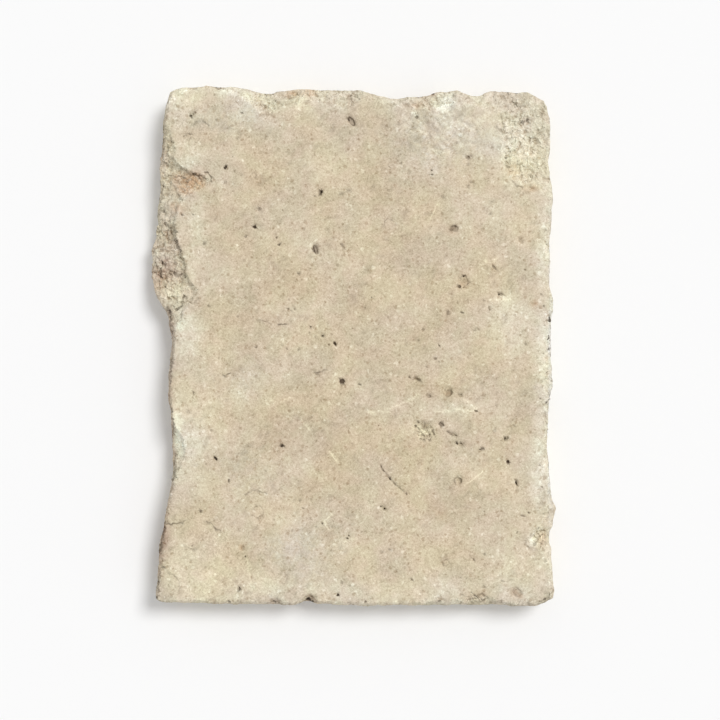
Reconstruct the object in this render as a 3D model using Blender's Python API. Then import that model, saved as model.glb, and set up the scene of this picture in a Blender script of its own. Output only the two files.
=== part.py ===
"""A limestone paving slab with a honed face and broken edges, as one solid.

Metres, +Z up. The slab lies on its sawn back with the honed face up, its long side along Y.
The origin is the centre of its bounding box's base. The driving dimensions below are in
millimetres, and the part is built by running this file in Blender.
"""

import math
from typing import NamedTuple

import bmesh
import bpy
import numpy as np
from mathutils import Matrix, Vector, noise

MM = 0.001

# Nominal paver: the size it was cut to, before its edges were broken off
WIDTH = 300.0
LENGTH = 400.0
THICKNESS = 30.0

# How closely the broken edge is followed round the slab
STATION_SPACING = 4.7

# Rows of the break, from the honed face's end (0) out to the broken edge (1)
BREAK_ROWS = (0.1, 0.24, 0.4, 0.56, 0.72, 0.87, 1.0)
# Share of the fall that a wide break has made at each of those rows: a ledge, then a slope
LEDGE_FALL = (0.3, 0.37, 0.46, 0.56, 0.68, 0.82, 1.0)
# The same for a narrow break, which is a worn round
ROUND_FALL = (0.02, 0.08, 0.17, 0.3, 0.48, 0.71, 1.0)
# Bands narrower and wider than these are all round and all ledge
ROUND_BAND = 5.0
LEDGE_BAND = 14.0
# Fall of an ordinary break: a base value and a share of its band
FALL_BASE = 4.0
FALL_SHARE = 0.42

# Rows of the side below the broken edge: share of its height left, and distance it is set in
SIDE_ROWS = ((0.76, 0.8), (0.5, 1.4), (0.2, 1.6), (0.0, 3.0))

# Roughness of the break: size and height of its facets, and of the chips on them
FACET = 13.0
FACET_HEIGHT = 1.6
CHIP = 4.6
CHIP_HEIGHT = 0.6
# The chips fade out over these bands, where the rows lie too far apart to carry them
CHIP_BANDS = (16.0, 30.0)
# Roughness of the side, whose facets lie along the stone's beds
BED_LENGTH = 17.0
BED_THICKNESS = 8.0
BED_HEIGHT = 1.9
# In-and-out wander of the broken edge and of the honed face's end
EDGE_WANDER = 0.55
ARRIS_WANDER = 0.9
WANDER_LENGTH = 9.0
# A honed face's end never comes nearer to the broken edge than this
LEAST_BAND = 2.0
# Fixes how the facets tilt, which would otherwise change with the time of day
NOISE_SEED = 1795822159

STONE_COLOUR = (0.64, 0.55, 0.41, 1.0)
STONE_ROUGHNESS = 0.88


class Section(NamedTuple):
    """The break where it crosses one point of a side, in millimetres.

    along: from the side's first corner
    out: how far the broken edge stands outside the nominal rectangle
    band: from the broken edge in to the end of the honed face
    slant: how far the honed face's end lies further along the side
    fall: how far the stone has fallen at the broken edge, or None for an ordinary break
    """

    along: float
    out: float
    band: float
    slant: float = 0.0
    fall: float | None = None


class Pit(NamedTuple):
    """A hollow in the honed face, in millimetres, with its place from the nominal centre."""

    x: float
    y: float
    long: float
    wide: float
    turn_deg: float
    depth: float


# The left side from its top corner down: a great flake is gone between 60 and 170 mm
LEFT_SIDE = [
    Section(4, -3, 4), Section(10, -1.5, 4), Section(19, 0.5, 3), Section(31, 1.5, 6),
    Section(43, 2.5, 10), Section(52, 4, 12), Section(59, 5, 17, 0, 9),
    Section(64.5, 5, 31, 1, 8), Section(70, 4, 39, 0, 7), Section(76, 3.5, 37, -1, 7.5),
    Section(82, 4.5, 27, -2, 9), Section(88, 6.5, 19, 0, 11), Section(95, 7, 17, 0, 13),
    Section(103, 6.5, 15, 0, 14), Section(110, 8, 17, 0, 15), Section(117, 9.5, 20, 0, 15),
    Section(124, 10.5, 23, 0, 14), Section(132, 11, 26, 0, 14), Section(140, 11, 29, 0, 13),
    Section(148, 10.5, 31, 0, 12), Section(155, 8.5, 33, 0, 10), Section(161.5, 6.5, 30, 1, 9),
    Section(168, 3, 20, 1, 9), Section(175, -1, 13, 0, 10), Section(182, -3, 10, 0, 10),
    Section(190, -4.5, 5, 0, 11), Section(202, -4.5, 3.5, 0, 12), Section(212, -3, 5, 0, 11),
    Section(223, -2.5, 4, 0, 11), Section(235, -2, 3, 0, 11), Section(243, -2, 4, 0, 10),
    Section(251, -4, 3, 0, 11), Section(262, -4, 4, 0, 11), Section(269, -4.5, 9, 0, 12),
    Section(280, -5, 11, 0, 12), Section(290, -5, 9, 0, 12), Section(300, -5, 4, 0, 12),
    Section(309, -4, 3, 0, 11), Section(317, -2.5, 3, 0, 9), Section(325, -0.5, 3, 0, 8),
    Section(333, 0, 3, 0, 7), Section(341, 1.5, 4), Section(348, 3.5, 3), Section(357, 5, 5),
    Section(368, 5.5, 5), Section(380, 6, 3.5), Section(396, 6.5, 2.5),
]

# The far side from its left corner: shallow scallops
TOP_SIDE = [
    Section(7, 0, 7), Section(18, 1.5, 5), Section(34, 2.5, 3.5), Section(44, 1.5, 4),
    Section(53, 2, 6), Section(62, 1, 9), Section(71, -1, 15), Section(80, -1.5, 18),
    Section(91, 0.5, 14), Section(103, 1.5, 11), Section(114, 1, 9), Section(124, -0.5, 10),
    Section(133, 0, 14), Section(142, 0.5, 17), Section(151, 0.5, 10), Section(159, -1.5, 8),
    Section(168, -4.5, 6), Section(178, -6.5, 6), Section(188, -5.5, 8), Section(198, -5, 11),
    Section(206, -3, 13), Section(213, -0.5, 15), Section(221, 0, 14), Section(229, -1, 11),
    Section(239, -4.5, 9), Section(246, -3.5, 11), Section(252, -1, 13),
    Section(258, -1.5, 15, -1, 6), Section(263, -2, 22, -4, 5), Section(269, -2, 30, -8, 4.5),
    Section(275, -1.5, 38, -13, 4.5), Section(282, -2, 45, -21, 4.5),
    Section(289, -5, 49, -28, 5), Section(295, -10, 50, -31, 5),
]

# The right side from its top corner down: a worn corner, then small chips
RIGHT_SIDE = [
    Section(17, -2.5, 31, 48, 5), Section(25, -0.5, 29, 45, 4.5), Section(35, -0.5, 25, 39, 4.5),
    Section(46, -1, 20, 30, 4.5), Section(57, -1.5, 13, 20, 5), Section(66, -1, 9, 12, 5),
    Section(75, 1.5, 7, 6), Section(84, 2, 5), Section(93, 1.5, 6), Section(102, 0.5, 6),
    Section(112, -1, 3), Section(123, -1, 5), Section(133, -0.5, 4), Section(143, -1, 3),
    Section(153, -0.5, 5), Section(163, 1, 3), Section(171, 1.5, 4), Section(180, 0, 5),
    Section(191, -0.5, 3), Section(203, 0, 6), Section(214, 0, 8), Section(223, 1.5, 10),
    Section(230, 1.5, 9), Section(237, 0, 5), Section(245, -2, 4), Section(255, -2.5, 3),
    Section(270, -3, 2.5), Section(280, -2.5, 3), Section(288, -1.5, 6), Section(297, -1.5, 5),
    Section(308, -1, 3), Section(315, -0.5, 4), Section(321, 2, 6), Section(327, 4, 9),
    Section(333, 2.5, 10), Section(340, 1, 12), Section(347, 0.5, 16), Section(354, 0, 12),
    Section(361, 0, 5), Section(370, 1, 4), Section(380, 1.5, 6), Section(389, 2.5, 5),
    Section(394, 2, 4),
]

# The near side from its left corner: almost straight, with two small bites
BOTTOM_SIDE = [
    Section(-3, -1.5, 3), Section(8, -1.5, 3), Section(20, -1, 4), Section(32, -0.5, 4),
    Section(43, 0, 3), Section(51, 0, 5), Section(61, -0.5, 3), Section(75, 0, 3),
    Section(82, 0, 4), Section(86, -0.5, 7), Section(91, 0, 4), Section(101, 0, 3),
    Section(107, -1.5, 6), Section(112, -2, 9), Section(118, -1, 4), Section(128, -0.5, 3),
    Section(143, 0.5, 3), Section(158, 1, 3), Section(175, 0.5, 3), Section(193, 0.5, 4),
    Section(208, 0.5, 6), Section(219, 0.5, 4), Section(229, 0, 5), Section(236, 1, 8),
    Section(243, 1.5, 10), Section(251, 1, 8), Section(261, 1, 5), Section(274, 1, 4),
    Section(286, 1, 4), Section(293, -1, 5), Section(298, -3.5, 6),
]

# The larger pits: burrows and shell moulds that the honing cut through
PITS = [
    Pit(-5, 175, 8.6, 4.2, -55, 2.6), Pit(-33, 75.5, 8.0, 4.0, -72, 2.8),
    Pit(-103, 139.5, 3.0, 2.8, 0, 2.4), Pit(-129, 180, 3.8, 3.0, 20, 1.8),
    Pit(-80, 93, 3.4, 2.4, -30, 2.2), Pit(-110.5, -86.5, 4.2, 2.2, -48, 2.2),
    Pit(-12.5, -26.5, 5.0, 4.0, 10, 2.4), Pit(-18, 2.5, 3.4, 2.8, -40, 2.0),
    Pit(-59, -76.5, 3.0, 2.2, 60, 1.8), Pit(-28.5, 120, 3.2, 2.0, 75, 1.9),
    Pit(74.5, 92, 6.6, 5.4, -15, 1.7), Pit(85, 147, 3.6, 3.0, 20, 1.8),
    Pit(45.5, 178, 3.0, 2.4, 0, 1.6), Pit(82.5, 49.5, 8.8, 6.0, 52, 1.3),
    Pit(110.5, 41, 3.6, 2.8, 10, 1.7), Pit(126, 82, 4.6, 3.4, -60, 1.3),
    Pit(105.5, 61.5, 5.2, 1.9, -50, 1.2), Pit(101.5, 30, 4.2, 2.2, -80, 1.5),
    Pit(69.5, 26.5, 4.6, 2.4, 72, 1.4), Pit(70.5, -35.5, 6.4, 5.6, 70, 1.6),
    Pit(45, -24.5, 6.4, 2.4, -12, 1.7), Pit(54.5, -38, 4.2, 2.6, -25, 1.5),
    Pit(79, -37.5, 4.0, 2.4, 20, 1.4), Pit(51, -66.5, 11.0, 9.0, -35, 1.3),
    Pit(64.5, -60, 5.0, 2.6, -25, 2.0), Pit(73.5, -67.5, 7.0, 1.9, -22, 1.3),
    Pit(79.5, -75.5, 4.2, 2.8, 0, 1.8), Pit(115, -71, 4.8, 2.0, 28, 1.7),
    Pit(116, -89, 3.0, 2.6, -30, 2.1), Pit(122.5, -105, 2.8, 2.2, -60, 1.9),
    Pit(78.5, -104, 5.6, 4.6, 60, 1.4), Pit(20, -125, 4.8, 2.4, -30, 1.5),
    Pit(-16, -192, 2.8, 2.4, 0, 2.1), Pit(-92, -187, 2.6, 2.4, 90, 1.7),
    Pit(-89.5, -155.5, 3.8, 3.0, 70, 1.2), Pit(123.5, -190.5, 7.2, 6.4, 0, 1.1),
]
PIT_SIDES = 8
# A pit's rim wanders in and out by this share of its radius
PIT_RAGGEDNESS = 0.16
# Share of its width that a pit keeps half way down, and at its floor
PIT_TAPER = ((0.55, 0.78), (1.0, 0.36))


class Side(NamedTuple):
    """One side of the nominal rectangle: its first corner, its direction and its outward normal."""

    corner: tuple
    direction: tuple
    outward: tuple
    sections: list


def sides():
    """The four sides in counter-clockwise order, each with its sections in that order."""
    right, top = WIDTH / 2, LENGTH / 2
    return [
        Side((-right, -top), (1, 0), (0, -1), BOTTOM_SIDE),
        Side((right, top), (0, -1), (1, 0), RIGHT_SIDE[::-1]),
        Side((-right, top), (1, 0), (0, 1), TOP_SIDE[::-1]),
        Side((-right, top), (0, -1), (-1, 0), LEFT_SIDE),
    ]


def control_rows():
    """One row for each section: the broken edge's x and y, the honed face's end, and the fall."""
    rows = []
    for side in sides():
        corner, direction, outward = (np.array(v, float) for v in side[:3])
        for section in side.sections:
            edge = corner + direction * section.along + outward * section.out
            arris = edge + direction * section.slant - outward * section.band
            fall = section.fall or FALL_BASE + FALL_SHARE * section.band
            rows.append([*edge, *arris, fall])
    return np.array(rows)


def through(rows, spacing):
    """A smooth closed curve through the rows, read about every spacing along the broken edge."""
    before, after, later = (np.roll(rows, -k, axis=0) for k in (-1, 1, 2))
    steps = np.linalg.norm(after[:, :2] - rows[:, :2], axis=1)
    starts = np.concatenate([[0.0], np.cumsum(steps)])
    count = round(starts[-1] / spacing)
    read = []
    for place in np.arange(count) * starts[-1] / count:
        k = int(np.searchsorted(starts, place, side="right")) - 1
        t = (place - starts[k]) / steps[k]
        cubic = 2 * before[k] - 5 * rows[k] + 4 * after[k] - later[k]
        bend = 3 * (rows[k] - after[k]) + later[k] - before[k]
        read.append(rows[k] + 0.5 * t * (after[k] - before[k] + t * (cubic + t * bend)))
    return np.array(read)


def outward_normals(loop):
    """The unit normal of a counter-clockwise closed line at each of its points."""
    along = np.roll(loop, -1, axis=0) - np.roll(loop, 1, axis=0)
    normals = np.column_stack([along[:, 1], -along[:, 0]])
    return normals / np.linalg.norm(normals, axis=1)[:, None]


def wander(point, length, seed):
    """A smooth number between about -1 and 1 that varies over the given length."""
    return 2 * noise.noise(Vector((point[0], point[1], seed * length)) / length)


def stations():
    """The broken edge, the honed face's end, the fall and the outward normal at each station."""
    read = through(control_rows(), STATION_SPACING)
    edge, arris, fall = read[:, :2], read[:, 2:4], read[:, 4]
    normals = outward_normals(edge)
    edge_shift = [EDGE_WANDER * wander(p, WANDER_LENGTH, 3) for p in edge]
    arris_shift = [ARRIS_WANDER * wander(p, WANDER_LENGTH, 8) for p in arris]
    edge = edge + normals * np.array(edge_shift)[:, None]
    arris = arris + normals * np.array(arris_shift)[:, None]
    gap = ((edge - arris) * normals).sum(axis=1)
    short = np.clip(LEAST_BAND - gap, 0, None) * (np.linalg.norm(edge - arris, axis=1) < 2 * LEAST_BAND)
    return edge, arris - normals * short[:, None], fall, normals


def facets(point, size, thickness=None):
    """A number from about -1 to 1: flat facets of one size, each tilted its own way."""
    place = Vector((point[0] / size, point[1] / size, point[2] / (thickness or size)))
    centre = noise.voronoi(place)[1][0]
    tilt = noise.noise_vector(centre * 5.3)
    return 2 * tilt.dot(place - centre) + 1.2 * noise.noise(centre * 3.7)


def ramp(value, start, end):
    """0 up to the start, 1 past the end, and a straight line between them."""
    return min(max((value - start) / (end - start), 0), 1)


def break_fall(row, band):
    """Share of the fall at one row of the break, between a worn round and a ledge."""
    ledge = ramp(band, ROUND_BAND, LEDGE_BAND)
    return ledge * LEDGE_FALL[row] + (1 - ledge) * ROUND_FALL[row]


def break_point(arris, edge, normal, fall, row):
    """One point of the break, on one of its rows."""
    share = BREAK_ROWS[row]
    band = np.linalg.norm(edge - arris)
    plan = arris + (edge - arris) * share
    z = THICKNESS - fall * break_fall(row, band)
    chips = CHIP_HEIGHT * (1 - ramp(band, *CHIP_BANDS)) * facets((*plan, z), CHIP)
    rough = FACET_HEIGHT * facets((*plan, z), FACET) + chips
    rough *= ramp(band * share, 0, 6) * (1 - 0.5 * share)
    plan = plan + normal * rough * share
    return *plan, min(z + rough, THICKNESS - 0.25 * share)


def side_point(edge, normal, fall, share, inset):
    """One point of the side, at a share of the height of the broken edge."""
    z = share * (THICKNESS - fall)
    rough = BED_HEIGHT * facets((*edge, z), BED_LENGTH, BED_THICKNESS)
    rough += CHIP_HEIGHT * facets((*edge, z), CHIP)
    return *(edge + normal * (min(rough, inset) - inset)), z


def break_rows():
    """The slab's outer rows of points: the honed face's end, the break and the side."""
    edge, arris, fall, normals = stations()
    rows = [[(*p, THICKNESS) for p in arris]]
    for row in range(len(BREAK_ROWS)):
        rows.append([break_point(a, e, n, f, row) for a, e, n, f in zip(arris, edge, normals, fall)])
    for share, inset in SIDE_ROWS:
        rows.append([side_point(e, n, f, share, inset) for e, n, f in zip(edge, normals, fall)])
    return rows


def station_layer(bm):
    """The whole number that each outer point carries: its station."""
    return bm.verts.layers.int.get("station") or bm.verts.layers.int.new("station")


def extruded_row(bm, edges, row):
    """Draws a ring of edges out to the next row of points, and returns the new ring's edges."""
    layer = station_layer(bm)
    made = bmesh.ops.extrude_edge_only(bm, edges=edges)["geom"]
    for vert in (g for g in made if isinstance(g, bmesh.types.BMVert)):
        vert.co = Vector(row[vert[layer]]) * MM
    new = {g for g in made if isinstance(g, bmesh.types.BMVert)}
    return [
        g for g in made if isinstance(g, bmesh.types.BMEdge) and set(g.verts) <= new
    ]


def build_break(bm):
    """Makes the break and the side from the honed face's end down, closed by the sawn back."""
    rows = break_rows()
    layer = station_layer(bm)
    ring = bmesh.ops.create_circle(bm, segments=len(rows[0]))["verts"]
    for station, vert in enumerate(ring):
        vert[layer] = station
        vert.co = Vector(rows[0][station]) * MM
    arris = list(dict.fromkeys(e for vert in ring for e in vert.link_edges))
    edges = arris
    for row in rows[1:]:
        edges = extruded_row(bm, edges, row)
    bmesh.ops.contextual_create(bm, geom=edges)
    return arris


def pit_outline(pit, scale, depth):
    """A ragged ellipse of points round a pit, at one depth under the honed face."""
    turn = Matrix.Rotation(math.radians(pit.turn_deg), 2)
    points = []
    for k in range(PIT_SIDES):
        angle = 2 * math.pi * k / PIT_SIDES
        ragged = 1 + PIT_RAGGEDNESS * wander((pit.x + 9 * k, pit.y), 5.0, 2)
        flat = Vector((math.cos(angle) * pit.long, math.sin(angle) * pit.wide))
        flat = turn @ flat * (0.5 * scale * ragged)
        points.append((pit.x + flat.x, pit.y + flat.y, THICKNESS - depth))
    return points


def build_pit(bm, pit):
    """Makes one pit's wall and floor, and returns the edges of its rim."""
    layer = station_layer(bm)
    rim = bmesh.ops.create_circle(bm, segments=PIT_SIDES)["verts"]
    for k, (vert, point) in enumerate(zip(rim, pit_outline(pit, 1.0, 0.0))):
        vert[layer] = k
        vert.co = Vector(point) * MM
    rim_edges = list(dict.fromkeys(e for vert in rim for e in vert.link_edges))
    edges = rim_edges
    for down, scale in PIT_TAPER:
        edges = extruded_row(bm, edges, pit_outline(pit, scale, pit.depth * down))
    bmesh.ops.contextual_create(bm, geom=edges)
    return rim_edges


def centred(bm):
    """Moves the slab so that the centre of its bounding box's base is the origin."""
    points = np.array([v.co for v in bm.verts])
    low, high = points.min(axis=0), points.max(axis=0)
    middle = Vector((*(low + high)[:2] / 2, low[2]))
    bmesh.ops.translate(bm, verts=bm.verts, vec=-middle)


def slab_mesh():
    """The whole slab as one closed mesh: break, side and back, pits, then the honed face."""
    bm = bmesh.new()
    open_edges = build_break(bm)
    for pit in PITS:
        open_edges = open_edges + build_pit(bm, pit)
    bmesh.ops.triangle_fill(bm, edges=open_edges, use_beauty=True)
    bmesh.ops.recalc_face_normals(bm, faces=bm.faces)
    centred(bm)
    mesh = bpy.data.meshes.new("slab")
    bm.to_mesh(mesh)
    bm.free()
    return mesh


def limestone():
    """Pale, dull, cream-coloured stone."""
    material = bpy.data.materials.new("limestone")
    material.use_nodes = True
    shader = material.node_tree.nodes["Principled BSDF"]
    shader.inputs["Base Color"].default_value = STONE_COLOUR
    shader.inputs["Roughness"].default_value = STONE_ROUGHNESS
    shader.inputs["Metallic"].default_value = 0.0
    return material


def main():
    """Clears the scene and builds the slab in it."""
    noise.seed_set(NOISE_SEED)
    for obj in list(bpy.data.objects):
        bpy.data.objects.remove(obj)
    slab = bpy.data.objects.new("slab", slab_mesh())
    slab.data.materials.append(limestone())
    bpy.context.scene.collection.objects.link(slab)


main()
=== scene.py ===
"""The looks of a limestone paving slab: honed face, broken edges, pits, cracks and weathering.

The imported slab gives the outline, the honed face's end, the broken bands and the large pits.
A finer skin of stone is built on them, with its relief and its finish. Lengths are in
millimetres, and a place read from the picture is given in its own pixels.
"""

import logging
import math
from dataclasses import dataclass, field
from enum import Enum

import bmesh
import bpy
import numpy as np
from mathutils import Matrix, Vector, noise
from mathutils.bvhtree import BVHTree


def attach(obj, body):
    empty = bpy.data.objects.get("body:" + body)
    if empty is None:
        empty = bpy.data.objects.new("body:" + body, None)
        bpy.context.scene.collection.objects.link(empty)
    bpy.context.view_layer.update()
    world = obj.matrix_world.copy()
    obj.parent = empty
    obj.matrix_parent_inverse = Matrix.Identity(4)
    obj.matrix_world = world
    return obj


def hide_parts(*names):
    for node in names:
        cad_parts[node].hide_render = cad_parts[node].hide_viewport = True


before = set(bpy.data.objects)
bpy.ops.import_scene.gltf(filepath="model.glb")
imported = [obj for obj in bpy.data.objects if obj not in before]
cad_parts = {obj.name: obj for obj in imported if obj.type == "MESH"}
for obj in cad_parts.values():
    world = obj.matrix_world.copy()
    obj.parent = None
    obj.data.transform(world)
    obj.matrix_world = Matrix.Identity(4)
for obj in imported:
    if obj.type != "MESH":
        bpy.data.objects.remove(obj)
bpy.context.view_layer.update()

LOG = logging.getLogger("limestone_slab")

MM = 0.001
# The picture, 720 by 720 pixels: the slab's middle in it, and its own middle
SLAB_MIDDLE_PX = (353.25, 346.0)
PICTURE_MIDDLE_PX = (360.0, 360.0)
PICTURE_WIDTH_PX = 720.0
# Millimetres to a pixel at the height of the broken edge, and at that of the honed face
EDGE_SCALE = 0.778
FACE_SCALE = 0.7745
# Where the camera stands over the slab, from the slab's middle
CAMERA_X = (PICTURE_MIDDLE_PX[0] - SLAB_MIDDLE_PX[0]) * EDGE_SCALE
CAMERA_Y = (SLAB_MIDDLE_PX[1] - PICTURE_MIDDLE_PX[1]) * EDGE_SCALE
# Fixes how the facets tilt, which would otherwise change with the time of day
NOISE_SEED = 1795822159


class Tint(Enum):
    """The ways in which weather and dirt have changed the stone's colour, or its roughness. The grime tint
    also paints shade along the left side and under the near edge's overhangs, and the bleached tint paints
    highlight along the right edge.
    """

    BLEACHED_AND_HIGHLIGHT = "bleached_and_highlight"
    CREAM = "cream"
    TAN = "tan"
    GREY = "grey"
    RUST = "rust"
    GRIME_AND_SHADE = "grime_and_shade"
    ROUGH = "rough"
    CRUMBLED = "crumbled"


class Mark(Enum):
    """The kinds of line that the honed face shows."""

    CRACK = "crack"
    SHELL = "shell"
    VEIN = "vein"


@dataclass(frozen=True)
class Pore:
    """A small hollow: its middle in the picture, its size and depth, and its turn."""

    px: float
    py: float
    long: float
    wide: float
    turn_deg: float = 0.0
    depth: float = 1.0


@dataclass(frozen=True)
class PitLook:
    """How one of the large pits looks: how dark its floor and its wall are, from 0 to 1.

    The wall is darkest on one side, which is given in degrees, where the picture shows one; that one-sided
    darkness is mostly painted shade on the wall.
    """

    px: float
    py: float
    floor: float
    wall: float
    dark_side_deg: float | None = None


@dataclass(frozen=True)
class Trace:
    """A line in the honed face: its points in the picture, its width, and its depth."""

    kind: Mark
    points_px: tuple[tuple[float, float], ...]
    width: float
    depth: float


@dataclass(frozen=True)
class Patch:
    """A soft-edged weathered place: its middle in the picture, its reach, and its strength."""

    tint: Tint
    px: float
    py: float
    reach_x: float
    reach_y: float
    strength: float


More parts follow.
